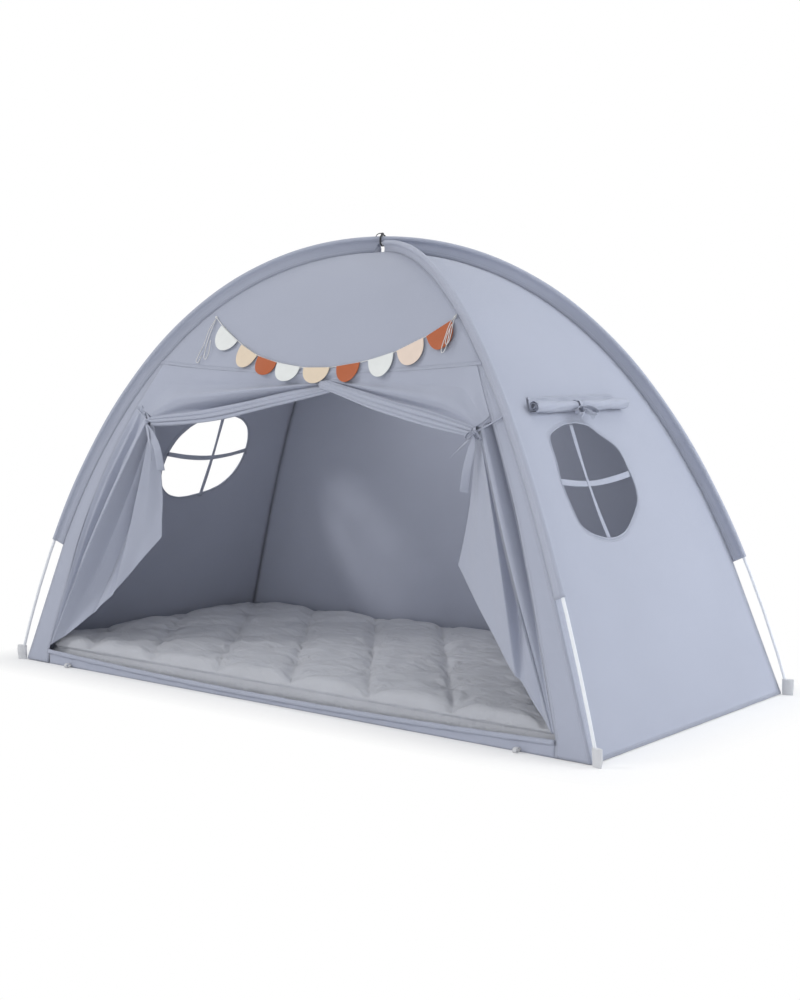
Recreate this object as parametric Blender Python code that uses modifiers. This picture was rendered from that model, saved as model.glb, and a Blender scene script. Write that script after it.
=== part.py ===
"""A child's play tent: two poles cross over a rectangular floor and carry four cloth walls in sleeves.

X is the width, -Y the door side and Z is up. The origin is on the ground, under the crossing of the poles.
"""

import math

import bmesh
import bpy
import numpy as np
from mathutils import Vector

NAME = "kids_play_tent"

# The frame and its arch
TENT_WIDTH = 2.000
TENT_DEPTH = 0.950
CROWN_HEIGHT = 1.203
ARCH_FOOT_SETBACK_SHARE = 0.14
ARCH_FOOT_RISE_SHARE = 0.41
ARCH_CROWN_SHARE = 0.56
ARCH_PLAN_BULGE_SHARE = 0.21
STATION_STEP = 0.115

# Poles, their joints and the elastic cord inside them
POLE_DIAMETER = 0.0085
POLE_WALL = 0.00195
POLE_END_HEIGHT = 0.0035
POLE_SECTIONS = 5
FERRULE_LENGTH = 0.060
FERRULE_WALL = 0.00085
SHOCK_CORD_DIAMETER = 0.0032
SHOCK_CORD_END = 0.010

# Cloth
CLOTH = 0.002
GAP = 0.0003
CUT_OVERRUN = 0.05

# Sleeves, which stand on the seams and hold the poles
SLEEVE_STANDOFF = 0.030
SLEEVE_END_HEIGHT = 0.360
SLEEVE_BORE_RADIUS = 0.0063
SLEEVE_WALL = 0.0013
SLEEVE_STRIP_SIDES = 9
SLEEVE_CROSSING_CLEARANCE = 0.016
SLEEVE_NOTCH = 0.009
SLEEVE_NOTCH_RUN = 0.005

# Webbing pockets that hold the pole ends at the corners
POCKET_OUTSIDE = 0.012
POCKET_THICKNESS = 0.013
POCKET_HEIGHT = 0.042
POCKET_SEAM_SETBACK = 0.020
POCKET_SEAM_GAP = 0.0018
POCKET_EDGE = 0.0025

# Floor, front sill and the door
SILL_RADIUS = 0.007
SILL_END_HEIGHT = 0.036
SILL_SAG = 0.018
SILL_SEGMENTS = 14
SILL_FLAP_RUN = 0.014
DOOR_EDGE_WIDTH_AT_SILL = 0.083
TRANSOM_DROP = 0.333
DOOR_EDGE_WIDTH_AT_TRANSOM = 0.0135
TRANSOM_SAG = 0.024
DOOR_EDGE_WIDTH_AT_TIE = 0.034
DOOR_SIDE_STEPS = 7
TIE_DROP = 0.118
APEX_OPENING = 0.030
APEX_PATCH_WIDTH = 0.090
APEX_PATCH_DEPTH = 0.050

# Curtains, gathered into tie-backs
KNOT_REACH = 0.036
KNOT_DROP = 0.047
KNOT_OUT = 0.010
SWAG_MEETING_X = 0.055
SWAG_CENTRE_GAP = 0.0015
SWAG_CENTRE_RISE = 0.113
SWAG_CENTRE_RECESS = 0.017
SWAG_LEFT_SAG = 0.011
SWAG_RIGHT_SAG = 0.003
SWAG_CENTRE_NARROW = 0.4
SWAG_ROPE_HEIGHT = 0.038
SWAG_ROPE_DEPTH = 0.024
SWAG_NECK_RADIUS = 0.011
SWAG_COLUMNS = 12
SWAG_PANEL_SHARES = (0.0, 0.5, 0.86)
SWAG_DIP_SHARE = 0.6
SWAG_KNOT_GAP = 0.003
KNOT_RADIUS = 0.010
DRAPE_FREE_REACH = 0.065
DRAPE_FREE_DROP = 0.315
DRAPE_CLEARANCE = 0.006
DRAPE_HEM_CLEARANCE = 0.012
DRAPE_HEM_SAG = 0.030
DRAPE_TOP_LAP = 0.006
DRAPE_COLUMNS = 18
DRAPE_SIDE_COLUMNS = 6
DRAPE_ROWS = 8
DRAPE_THICKNESS = 0.003
DRAPE_NECK = 0.020
DRAPE_RIDGE = 0.022
DRAPE_RIDGE_GAP = 0.0013
DRAPE_VALLEY = 0.020
DRAPE_FOLD_START_SHARE = 0.0
DRAPE_FOLD_COUNT = 2.5
DRAPE_FOLD_DEPTH = 0.016
TIE_STRAP_WIDTH = 0.012
TIE_STRAP_THICKNESS = 0.003
TIE_TAIL_WIDTH = 0.012
TIE_TAIL_LENGTH = 0.115
TIE_TAIL_SPREAD = 0.060
TIE_TAIL_CLEARANCE = 0.012

# Round windows, with their cross straps and rolled covers
WINDOW_HALF_WIDTH = 0.163
WINDOW_HALF_HEIGHT = 0.137
WINDOW_HEIGHT = 0.592
WINDOW_RIGHT_Y = -0.074
WINDOW_LEFT_Y = 0.040
WINDOW_SQUARENESS = 2.3
WINDOW_POINTS = 32
WINDOW_BINDING_RADIUS = 0.0030
WINDOW_STRAP_WIDTH = 0.014
WINDOW_STRAP_SAG = 0.008
COVER_SEAM_RISE = 0.198
COVER_LENGTH = 0.420
COVER_RIGHT_Y = -0.020
COVER_LEFT_Y = 0.020
COVER_TURNS = 2.5
COVER_CORE_RADIUS = 0.004
COVER_CLOTH = 0.0022
COVER_PITCH = 0.0042
COVER_HANG = 0.030
COVER_TURN_POINTS = 14
COVER_TIE_WIDTH = 0.016
COVER_TIE_THICKNESS = 0.002
COVER_TIE_TOP_ANGLE = 100
COVER_TIE_LOW_ANGLE = -115
COVER_KNOT_RADIUS = 0.007
COVER_TAIL_LENGTH = 0.055
COVER_TAIL_SPREAD = 0.022

# Mat
MAT_END_GAP = 0.051
MAT_SIDE_GAP = 0.030
MAT_HEIGHT = 0.084
MAT_EDGE_RADIUS = 0.055
MAT_BAND_HEIGHT = 0.036
MAT_BASE_INSET = 0.012
MAT_TUFT_DEPTH = 0.020
MAT_TUFT_RADIUS = 0.050
MAT_TUFT_COLUMNS = 8
MAT_TUFT_ROWS = 4
MAT_GRID_COLUMNS = 34
MAT_GRID_ROWS = 16

# Bunting: a string with half-round flags
BUNTING_DROP = 0.211
BUNTING_LEFT_INSET = 0.051
BUNTING_RIGHT_INSET = 0.0025
BUNTING_SAG = 0.130
BUNTING_STRING_RADIUS = 0.00125
BUNTING_POINTS = 33
BUNTING_TAIL_LENGTH = 0.080
BUNTING_TAIL_SPREAD = 0.003
BUNTING_TAIL_OUT = 0.003
FLAG_WIDTH = 0.078
FLAG_LEFT_RUN = 0.0765
FLAG_RIGHT_RUN = 0.061
FLAG_HEIGHT = 0.049
FLAG_STRING_GAP = 0.0032
FLAG_THICKNESS = 0.0018
FLAG_ARC_POINTS = 12
FLAG_COLOURS = ("white", "cream", "rust", "white", "cream", "rust", "white", "peach", "rust")

# Small trim
PEG_LOOP_INSET = 0.100
PEG_LOOP_WIDTH = 0.010
PEG_LOOP_HEIGHT = 0.014
PEG_LOOP_LENGTH = 0.020
PEG_LOOP_THICKNESS = 0.0016
APEX_TIE_RADIUS = 0.0015
APEX_TIE_TAIL = 0.022
APEX_TIE_EASE = 1.15

# Colour, roughness and metallic value of each material
MATERIALS = {
    "cloth": ((0.44, 0.46, 0.55), 0.85, 0.0),
    "lining": ((0.36, 0.38, 0.45), 0.90, 0.0),
    "pole_white": ((0.80, 0.81, 0.83), 0.35, 0.0),
    "ferrule_metal": ((0.62, 0.62, 0.63), 0.30, 1.0),
    "cord_white": ((0.85, 0.85, 0.84), 0.80, 0.0),
    "webbing": ((0.74, 0.74, 0.75), 0.80, 0.0),
    "mat": ((0.40, 0.41, 0.43), 0.75, 0.0),
    "white": ((0.74, 0.75, 0.74), 0.90, 0.0),
    "cream": ((0.72, 0.63, 0.51), 0.90, 0.0),
    "peach": ((0.76, 0.61, 0.51), 0.90, 0.0),
    "rust": ((0.46, 0.13, 0.05), 0.90, 0.0),
    "tie_dark": ((0.10, 0.10, 0.12), 0.80, 0.0),
}

HALF_CLOTH = CLOTH / 2
POLE_RADIUS = POLE_DIAMETER / 2
FERRULE_BORE = POLE_RADIUS + GAP
SLEEVE_RADIUS = SLEEVE_BORE_RADIUS + SLEEVE_WALL
SEAM_MARGIN = HALF_CLOTH + GAP
FIN_START = HALF_CLOTH + GAP
CROSSING_RISE = (POLE_RADIUS + SLEEVE_RADIUS + GAP) / 2
FLOOR_TOP = CLOTH
HEM_HEIGHT = FLOOR_TOP + 2 * GAP
SILL_TOP = SILL_END_HEIGHT + SILL_RADIUS + GAP


def clear_scene():
    for item in list(bpy.data.objects):
        bpy.data.objects.remove(item)


def collection(name, hidden=False):
    group = bpy.data.collections.new(name)
    bpy.context.scene.collection.children.link(group)
    group.hide_render = hidden
    return group


def material(name):
    found = bpy.data.materials.get(name)
    if found:
        return found
    colour, roughness, metallic = MATERIALS[name]
    made = bpy.data.materials.new(name)
    made.use_nodes = True
    shader = made.node_tree.nodes["Principled BSDF"]
    shader.inputs["Base Color"].default_value = (*colour, 1)
    shader.inputs["Roughness"].default_value = roughness
    shader.inputs["Metallic"].default_value = metallic
    return made


def add_object(name, data, group, look=None, smooth=True):
    item = bpy.data.objects.new(name, data)
    group.objects.link(item)
    if look:
        data.materials.append(material(look))
    if smooth and isinstance(data, bpy.types.Mesh):
        data.shade_smooth()
        data.set_sharp_from_angle(angle=math.radians(35))
    return item


def mesh_object(name, points, faces, group, look=None, smooth=True):
    data = bpy.data.meshes.new(name)
    data.from_pydata([tuple(float(value) for value in point) for point in points], [], faces)
    shape = bmesh.new()
    shape.from_mesh(data)
    bmesh.ops.recalc_face_normals(shape, faces=shape.faces)
    shape.to_mesh(data)
    shape.free()
    return add_object(name, data, group, look, smooth)


def sweep(name, sections, group, look, closed=False):
    """A solid through rings of equally many points, with a flat face over each end."""
    count = len(sections[0])
    points = [point for section in sections for point in section]
    steps = len(sections) if closed else len(sections) - 1
    faces = []
    for row in range(steps):
        start = row * count
        following = (row + 1) % len(sections) * count
        for column in range(count):
            side = (column + 1) % count
            faces.append((start + column, start + side, following + side, following + column))
    if not closed:
        faces.append(tuple(range(count)))
        faces.append(tuple(range((len(sections) - 1) * count, len(sections) * count)))
    return mesh_object(name, points, faces, group, look)


def curve_object(name, points, radius, group, look, resolution=1, caps=True, cyclic=False):
    data = bpy.data.curves.new(name, "CURVE")
    data.dimensions = "3D"
    data.bevel_depth = radius
    data.bevel_resolution = resolution
    data.use_fill_caps = caps
    data.twist_mode = "Z_UP"
    spline = data.splines.new("POLY")
    spline.points.add(len(points) - 1)
    for place, point in zip(spline.points, points):
        place.co = (*[float(value) for value in point], 1)
    spline.use_cyclic_u = cyclic
    item = bpy.data.objects.new(name, data)
    group.objects.link(item)
    if look:
        data.materials.append(material(look))
    return item


def as_mesh(item, group, weld=0.00001):
    """The evaluated curve as a welded mesh object, in place of the curve."""
    bpy.context.view_layer.update()
    graph = bpy.context.evaluated_depsgraph_get()
    data = bpy.data.meshes.new_from_object(item.evaluated_get(graph))
    shape = bmesh.new()
    shape.from_mesh(data)
    bmesh.ops.remove_doubles(shape, verts=shape.verts, dist=weld)
    bmesh.ops.recalc_face_normals(shape, faces=shape.faces)
    shape.to_mesh(data)
    shape.free()
    name = item.name
    placed = item.matrix_world.copy()
    bpy.data.objects.remove(item)
    made = bpy.data.objects.new(name, data)
    made.matrix_world = placed
    group.objects.link(made)
    return made


def boolean(item, other, operation):
    change = item.modifiers.new(operation.lower() + "_" + other.name, "BOOLEAN")
    change.operation = operation
    change.object = other
    change.solver = "EXACT"


def joined(item, helpers, cutters):
    """Unites the helper meshes with the item and leaves them as hidden guides."""
    for other in helpers:
        for group in list(other.users_collection):
            group.objects.unlink(other)
        cutters.objects.link(other)
        hide(other)
        boolean(item, other, "UNION")


def hide(item):
    item.hide_render = True
    item.display_type = "WIRE"


def solidify(item, thickness, offset=0.0):
    change = item.modifiers.new("thickness", "SOLIDIFY")
    change.thickness = thickness
    change.offset = offset
    change.use_even_offset = True


def put_origin(item, pivot):
    """Moves the object's origin to its joint without moving its shape."""
    shift = Vector([float(value) for value in pivot])
    for vertex in item.data.vertices:
        vertex.co -= shift
    item.location = shift
    for change in item.modifiers:
        if change.type == "BOOLEAN" and change.object:
            change.object.location = change.object.location


def unit(vector):
    return vector / np.linalg.norm(vector)


class Arch:
    """The common line of both poles over one quarter of the plan, from the foot to the crown."""

    def __init__(self):
        grid = np.linspace(0, 1, 801)
        lengths = np.linalg.norm(np.diff(self.mean(grid), axis=0), axis=1)
        self.grid = grid
        self.arc = np.concatenate([[0], np.cumsum(lengths)])
        self.half_length = self.arc[-1]

    def shares(self, t):
        foot = (1.0, 0.0)
        low = (1.0 - ARCH_FOOT_SETBACK_SHARE, ARCH_FOOT_RISE_SHARE)
        high = (ARCH_CROWN_SHARE, 1.0)
        crown = (0.0, 1.0)
        t = np.asarray(t, float)
        weights = ((1 - t) ** 3, 3 * t * (1 - t) ** 2, 3 * t * t * (1 - t), t**3)
        x = sum(w * p[0] for w, p in zip(weights, (foot, low, high, crown)))
        z = sum(w * p[1] for w, p in zip(weights, (foot, low, high, crown)))
        y = x * (1 + ARCH_PLAN_BULGE_SHARE * (1 - x * x))
        return x, y, z

    def place(self, t, crown):
        x, y, z = self.shares(t)
        rise = POLE_END_HEIGHT + z * (crown - POLE_END_HEIGHT)
        return np.stack([x * TENT_WIDTH / 2, y * TENT_DEPTH / 2, rise], -1)

    def mean(self, t):
        return self.place(t, CROWN_HEIGHT)

    def t_at(self, arc):
        return np.interp(arc, self.arc, self.grid)

    def normal(self, t):
        """Square to the arch, in the upright plane through it, pointing out of the tent."""
        step = 0.001
        ahead = self.mean(np.minimum(t + step, 1.0))
        behind = self.mean(np.maximum(t - step, 0.0))
        tangent = unit(ahead - behind)
        upright = np.array([0.0, 0.0, 1.0])
        return unit(upright - upright.dot(tangent) * tangent)

    def foot_direction(self):
        foot, above = self.mean(0.0), self.mean(0.01)
        return unit((foot - above) * np.array([1, 1, 0]))

    def seam(self, t):
        return self.mean(t) - self.normal(t) * SLEEVE_STANDOFF


ARCH = Arch()


def joint_arcs():
    """Where the pole sections meet, from the foot up to the crown."""
    section = 2 * ARCH.half_length / POLE_SECTIONS
    places = [section * count for count in range(1, POLE_SECTIONS)]
    return [place for place in places if place < ARCH.half_length - FERRULE_LENGTH]


def stations():
    """Arc lengths of the points that poles, sleeves and walls share, from the foot to the crown."""
    edges = [0.0]
    for joint in joint_arcs():
        edges += [joint - FERRULE_LENGTH / 2, joint, joint + FERRULE_LENGTH / 2]
    edges.append(ARCH.half_length)
    places = [0.0]
    for start, end in zip(edges, edges[1:]):
        parts = max(1, math.ceil((end - start) / STATION_STEP))
        places += [start + (end - start) * part / parts for part in range(1, parts + 1)]
    return places


STATIONS = stations()


def sleeve_end_arc():
    grid = ARCH.mean(ARCH.grid)
    return float(np.interp(SLEEVE_END_HEIGHT, grid[:, 2], ARCH.arc))


SLEEVE_END = sleeve_end_arc()


class Pole:
    """One pole's line, foot to foot, over the plan's corners (-1, side) and (1, -side)."""

    def __init__(self, side, rise):
        crown = CROWN_HEIGHT + rise
        first = [(arc, -1, side) for arc in STATIONS]
        second = [(arc, 1, -side) for arc in reversed(STATIONS[:-1])]
        self.arcs = []
        self.points = []
        for arc, x_side, y_side in first + second:
            point = ARCH.place(ARCH.t_at(arc), crown) * np.array([x_side, y_side, 1])
            self.points.append(point)
            self.arcs.append(arc if x_side < 0 else 2 * ARCH.half_length - arc)
        self.points = np.array(self.points)
        self.arcs = np.array(self.arcs)
        self.side = side
        self.length = 2 * ARCH.half_length

    def point(self, arc):
        return np.array([np.interp(arc, self.arcs, self.points[:, axis]) for axis in range(3)])

    def slice(self, start, end, extra=()):
        """Arc lengths of the stations between two places, with both ends."""
        inner = [arc for arc in self.arcs if start + GAP < arc < end - GAP]
        return sorted([start, *inner, *[arc for arc in extra if start < arc < end], end])

    def seam_point(self, arc):
        """The wall seam below the pole, on the chord between stations as the walls have it."""
        near = min(arc, self.length - arc)
        x_side, y_side = (-1, self.side) if arc <= self.length / 2 else (1, -self.side)
        return seam_at(near) * np.array([x_side, y_side, 1])


def wall_rows():
    """The seam's points from the hem up to the opening under the crown, for the corner at +X +Y."""
    foot = ARCH.mean(0.0) - ARCH.foot_direction() * POCKET_SEAM_SETBACK
    foot[2] = HEM_HEIGHT
    rows = [foot, ARCH.seam(ARCH.t_at(SLEEVE_END))]
    arcs = [0.0, SLEEVE_END]
    for arc in STATIONS:
        if arc > SLEEVE_END + GAP:
            point = ARCH.seam(ARCH.t_at(arc))
            if point[0] > APEX_OPENING + GAP:
                rows.append(point)
                arcs.append(arc)
    crown_arcs = np.linspace(arcs[-1], ARCH.half_length, 200)
    crown = np.array([ARCH.seam(ARCH.t_at(arc)) for arc in crown_arcs])
    order = np.argsort(crown[:, 0])
    last = [np.interp(APEX_OPENING, crown[order, 0], crown[order, axis]) for axis in range(3)]
    arcs.append(float(np.interp(APEX_OPENING, crown[order, 0], crown_arcs[order])))
    rows.append(np.array(last))
    return np.array(rows), np.array(arcs)


ROWS, ROW_ARCS = wall_rows()


def seam_at(arc):
    if arc >= ROW_ARCS[-1]:
        return ARCH.seam(ARCH.t_at(arc))
    return np.array([np.interp(arc, ROW_ARCS, ROWS[:, axis]) for axis in range(3)])


def wall_x(height):
    return float(np.interp(height, ROWS[:, 2], ROWS[:, 0]))


def wall_y(height):
    return float(np.interp(height, ROWS[:, 2], ROWS[:, 1]))


TRANSOM_END_HEIGHT = CROWN_HEIGHT - TRANSOM_DROP
TRANSOM_HALF_LENGTH = wall_x(TRANSOM_END_HEIGHT) - DOOR_EDGE_WIDTH_AT_TRANSOM
SILL_HALF_LENGTH = wall_x(SILL_END_HEIGHT) - DOOR_EDGE_WIDTH_AT_SILL
TIE_HEIGHT = TRANSOM_END_HEIGHT - TIE_DROP
KNOT_X = wall_x(TIE_HEIGHT) - DOOR_EDGE_WIDTH_AT_TIE - KNOT_REACH
KNOT_HEIGHT = TIE_HEIGHT - KNOT_DROP
DRAPE_FREE_X = KNOT_X - DRAPE_FREE_REACH
DRAPE_FREE_HEIGHT = KNOT_HEIGHT - DRAPE_FREE_DROP
COVER_SEAM_HEIGHT = WINDOW_HEIGHT + COVER_SEAM_RISE
BUNTING_HEIGHT = CROWN_HEIGHT - BUNTING_DROP
BUNTING_LEFT_X = BUNTING_LEFT_INSET - wall_x(BUNTING_HEIGHT)
BUNTING_RIGHT_X = wall_x(BUNTING_HEIGHT) - BUNTING_RIGHT_INSET
FLAG_FIRST_X = BUNTING_LEFT_X + FLAG_LEFT_RUN
FLAG_LAST_X = BUNTING_RIGHT_X - FLAG_RIGHT_RUN
MAT_LENGTH = 2 * (ROWS[0][0] - MAT_END_GAP)
MAT_DEPTH = 2 * (ROWS[0][1] - MAT_SIDE_GAP)
PEG_LOOP_X = SILL_HALF_LENGTH - PEG_LOOP_INSET


def wall_normal(height, front):
    """Outward normal of the front wall, or of the right wall, as (sideways, up)."""
    reach = wall_y if front else wall_x
    step = 0.002
    run = reach(height - step) - reach(height + step)
    return unit(np.array([2 * step, run]))


def front_point(x, height, out=0.0):
    """A point on the front wall's middle, moved outwards by a distance."""
    across, up = wall_normal(height, True)
    return np.array([x, -wall_y(height) - across * out, height + up * out])


def side_point(side, y, height, out=0.0):
    across, up = wall_normal(height, False)
    return np.array([side * (wall_x(height) + across * out), y, height + up * out])


def make_poles(parts):
    joints = joint_arcs()
    for letter, side, rise in (("a", -1, CROSSING_RISE), ("b", 1, -CROSSING_RISE)):
        pole = Pole(side, rise)
        places = joints + [pole.length - arc for arc in reversed(joints)]
        ends = [0.0, *places, pole.length]
        for count, (start, end) in enumerate(zip(ends, ends[1:]), 1):
            inner = GAP / 2
            first = start + (inner if start else 0.0)
            last = end - (inner if end < pole.length else 0.0)
            points = [pole.point(arc) for arc in pole.slice(first, last)]
            name = f"pole_{letter}_section_{count}"
            tube = curve_object(name, points, POLE_RADIUS, parts, "pole_white", 2, caps=False)
            solidify(tube, POLE_WALL, -1.0)
        for count, arc in enumerate(places, 1):
            half = FERRULE_LENGTH / 2 - GAP
            points = [pole.point(place) for place in pole.slice(arc - half, arc + half)]
            name = f"pole_{letter}_ferrule_{count}"
            radius = FERRULE_BORE + FERRULE_WALL
            tube = curve_object(name, points, radius, parts, "ferrule_metal", 2, caps=False)
            solidify(tube, FERRULE_WALL, -1.0)
        inner = pole.slice(SHOCK_CORD_END, pole.length - SHOCK_CORD_END)
        points = [pole.point(arc) for arc in inner]
        radius = SHOCK_CORD_DIAMETER / 2
        curve_object(f"shock_cord_{letter}", points, radius, parts, "cord_white", 1)


def sleeve_section(centre, root, along, fin):
    """Outer outline and bore of a sleeve, as two lists of points, around a pole's centre."""
    out = unit(centre - root)
    across = unit(np.cross(along, out))
    half = CLOTH / 2
    start = math.asin(half / SLEEVE_RADIUS)
    angles = np.linspace(start, 2 * math.pi - start, SLEEVE_STRIP_SIDES)

    def ring(radius, angle):
        return centre - out * radius * math.cos(angle) + across * radius * math.sin(angle)

    outer = [ring(SLEEVE_RADIUS, angle) for angle in angles]
    inner = [ring(SLEEVE_BORE_RADIUS, angle) for angle in angles]
    edge = centre - out * fin
    outer += [edge - across * half, edge + across * half]
    return outer, inner


def make_sleeve(name, pole, start, end, parts, notch=False):
    middle = pole.length / 2
    runs = [ARCH.half_length - ROW_ARCS[-1]]
    if notch:
        runs += [SLEEVE_NOTCH, SLEEVE_NOTCH + SLEEVE_NOTCH_RUN]
    extra = [middle + sign * run for sign in (-1, 1) for run in runs]
    arcs = pole.slice(start, end, extra)
    points, faces = [], []
    sides = SLEEVE_STRIP_SIDES
    count = 2 * sides + 2
    for arc in arcs:
        ahead = pole.point(min(arc + STATION_STEP / 4, pole.length))
        along = unit(ahead - pole.point(max(arc - STATION_STEP / 4, 0.0)))
        centre = pole.point(arc)
        root = pole.seam_point(arc)
        fin = np.linalg.norm(centre - root) - FIN_START
        if notch and abs(arc - middle) < SLEEVE_NOTCH + GAP:
            fin = SLEEVE_RADIUS + GAP / 3
        outer, inner = sleeve_section(centre, root, along, fin)
        points += outer + inner
    around = sides + 2
    for row in range(len(arcs) - 1):
        a, b = row * count, (row + 1) * count
        for column in range(around):
            side = (column + 1) % around
            faces.append((a + column, a + side, b + side, b + column))
        for column in range(sides):
            side = (column + 1) % sides
            faces.append((a + around + side, a + around + column, b + around + column, b + around + side))
    for a in (0, (len(arcs) - 1) * count):
        for column in range(sides - 1):
            faces.append((a + column, a + column + 1, a + around + column + 1, a + around + column))
        faces.append((a + sides - 1, a, a + around, a + around + sides - 1))
        faces.append((a, a + sides - 1, a + sides, a + sides + 1))
    return mesh_object(name, points, faces, parts, "cloth")


def make_sleeves(parts):
    over = Pole(-1, CROSSING_RISE)
    under = Pole(1, -CROSSING_RISE)
    middle = under.length / 2
    make_sleeve("sleeve_over", over, SLEEVE_END, over.length - SLEEVE_END, parts, notch=True)
    clear = SLEEVE_CROSSING_CLEARANCE
    make_sleeve("sleeve_under_back_left", under, SLEEVE_END, middle - clear, parts)
    make_sleeve("sleeve_under_front_right", under, middle + clear, under.length - SLEEVE_END, parts)


def make_corner_pockets(parts, cutters):
    direction = ARCH.foot_direction()
    inner = POCKET_SEAM_SETBACK - POCKET_SEAM_GAP
    for name, x_side, y_side in (
        ("corner_pocket_front_left", -1, -1),
        ("corner_pocket_front_right", 1, -1),
        ("corner_pocket_back_left", -1, 1),
        ("corner_pocket_back_right", 1, 1),
    ):
        mirror = np.array([x_side, y_side, 1])
        foot = ARCH.mean(0.0) * mirror
        out = direction * mirror
        across = np.array([-out[1], out[0], 0.0])
        centre = foot + out * (POCKET_OUTSIDE - inner) / 2
        centre[2] = POCKET_HEIGHT / 2
        bpy.ops.mesh.primitive_cube_add(size=1, location=centre.tolist())
        pocket = bpy.context.active_object
        pocket.name = name
        pocket.dimensions = (POCKET_OUTSIDE + inner, POCKET_THICKNESS, POCKET_HEIGHT)
        pocket.rotation_euler = (0, 0, math.atan2(out[1], out[0]))
        bpy.ops.object.transform_apply(location=False, rotation=True, scale=True)
        pocket.data.materials.append(material("webbing"))
        for group in list(pocket.users_collection):
            group.objects.unlink(pocket)
        parts.objects.link(pocket)
        edge = pocket.modifiers.new("edge", "BEVEL")
        edge.width = POCKET_EDGE
        edge.segments = 2
        above = ARCH.mean(ARCH.t_at(STATIONS[1])) * mirror
        along = unit(above - foot)
        bore_start = foot - along * GAP
        bore_end = foot + along * POCKET_HEIGHT * 2
        radius = POLE_RADIUS + GAP
        bore = curve_object(name + "_bore", [bore_start, bore_end], radius, cutters, None, 2)
        bore = as_mesh(bore, cutters)
        hide(bore)
        boolean(pocket, bore, "DIFFERENCE")


def wall_sheet(name, front, side, parts):
    """A wall between two seams, as straight lines at each height, given the cloth's thickness."""
    points, faces = [], []
    for x, y, z in ROWS:
        if front:
            points += [(-x + SEAM_MARGIN, side * y, z), (x - SEAM_MARGIN, side * y, z)]
        else:
            points += [(side * x, -y + SEAM_MARGIN, z), (side * x, y - SEAM_MARGIN, z)]
    for row in range(len(ROWS) - 1):
        a = 2 * row
        faces.append((a, a + 1, a + 3, a + 2))
    wall = mesh_object(name, points, faces, parts, "cloth")
    solidify(wall, CLOTH)
    return wall


def transom_height(x):
    return TRANSOM_END_HEIGHT - TRANSOM_SAG * (1 - (x / TRANSOM_HALF_LENGTH) ** 2)


def door_side():
    """The door's side edge as (x, height): from the sill's end past the tie to the transom's end."""
    low, high = wall_x(SILL_TOP) - SILL_HALF_LENGTH, DOOR_EDGE_WIDTH_AT_TIE
    places = []
    for step in range(DOOR_SIDE_STEPS + 1):
        share = step / DOOR_SIDE_STEPS
        height = SILL_TOP + (TIE_HEIGHT - SILL_TOP) * share
        places.append((wall_x(height) - low - (high - low) * share, height))
    return [*places, (TRANSOM_HALF_LENGTH, TRANSOM_END_HEIGHT)]


def door_edge_x(height):
    return float(np.interp(height, [place[1] for place in DOOR_SIDE], [place[0] for place in DOOR_SIDE]))


DOOR_SIDE = door_side()


def make_walls(parts, cutters):
    front = wall_sheet("front_wall", True, -1, parts)
    right = DOOR_SIDE
    top = [(x, transom_height(x)) for x in np.linspace(TRANSOM_HALF_LENGTH, -TRANSOM_HALF_LENGTH, 13)[1:-1]]
    outline = [(SILL_HALF_LENGTH, -CUT_OVERRUN), *right, *top]
    outline += [(-x, height) for x, height in reversed(right)] + [(-SILL_HALF_LENGTH, -CUT_OVERRUN)]
    near, far = -TENT_DEPTH / 2 - CUT_OVERRUN, -CUT_OVERRUN
    rings = [[(x, y, z) for x, z in outline] for y in (near, far)]
    door = sweep("door_cut", rings, cutters, None)
    hide(door)
    boolean(front, door, "DIFFERENCE")
    wall_sheet("back_wall", True, 1, parts)
    for name, side, middle in (("left", -1, WINDOW_LEFT_Y), ("right", 1, WINDOW_RIGHT_Y)):
        wall = wall_sheet(f"{name}_wall", False, side, parts)
        outline = window_outline(middle, 0.0)
        near, far = side * CUT_OVERRUN, side * (TENT_WIDTH / 2 + CUT_OVERRUN)
        rings = [[(x, y, z) for y, z in outline] for x in (near, far)]
        hole = sweep(f"{name}_window_cut", rings, cutters, None)
        hide(hole)
        boolean(wall, hole, "DIFFERENCE")


def window_outline(middle, inset):
    """The window's edge as (y, height) pairs, drawn in by a distance."""
    wide, high = WINDOW_HALF_WIDTH - inset, WINDOW_HALF_HEIGHT - inset
    power = 2 / WINDOW_SQUARENESS
    points = []
    for count in range(WINDOW_POINTS):
        angle = 2 * math.pi * count / WINDOW_POINTS
        across = math.copysign(abs(math.cos(angle)) ** power, math.cos(angle))
        up = math.copysign(abs(math.sin(angle)) ** power, math.sin(angle))
        points.append((middle + wide * across, WINDOW_HEIGHT + high * up))
    return points


def band(name, centres, normals, width_axes, width, thickness, group, look):
    """A flat strap through centres, each with its normal and its width direction."""
    sections = []
    for centre, normal, axis in zip(centres, normals, width_axes):
        side, out = np.asarray(axis) * width / 2, np.asarray(normal) * thickness / 2
        sections.append([centre - side - out, centre + side - out, centre + side + out, centre - side + out])
    return sweep(name, sections, group, look)


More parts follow.
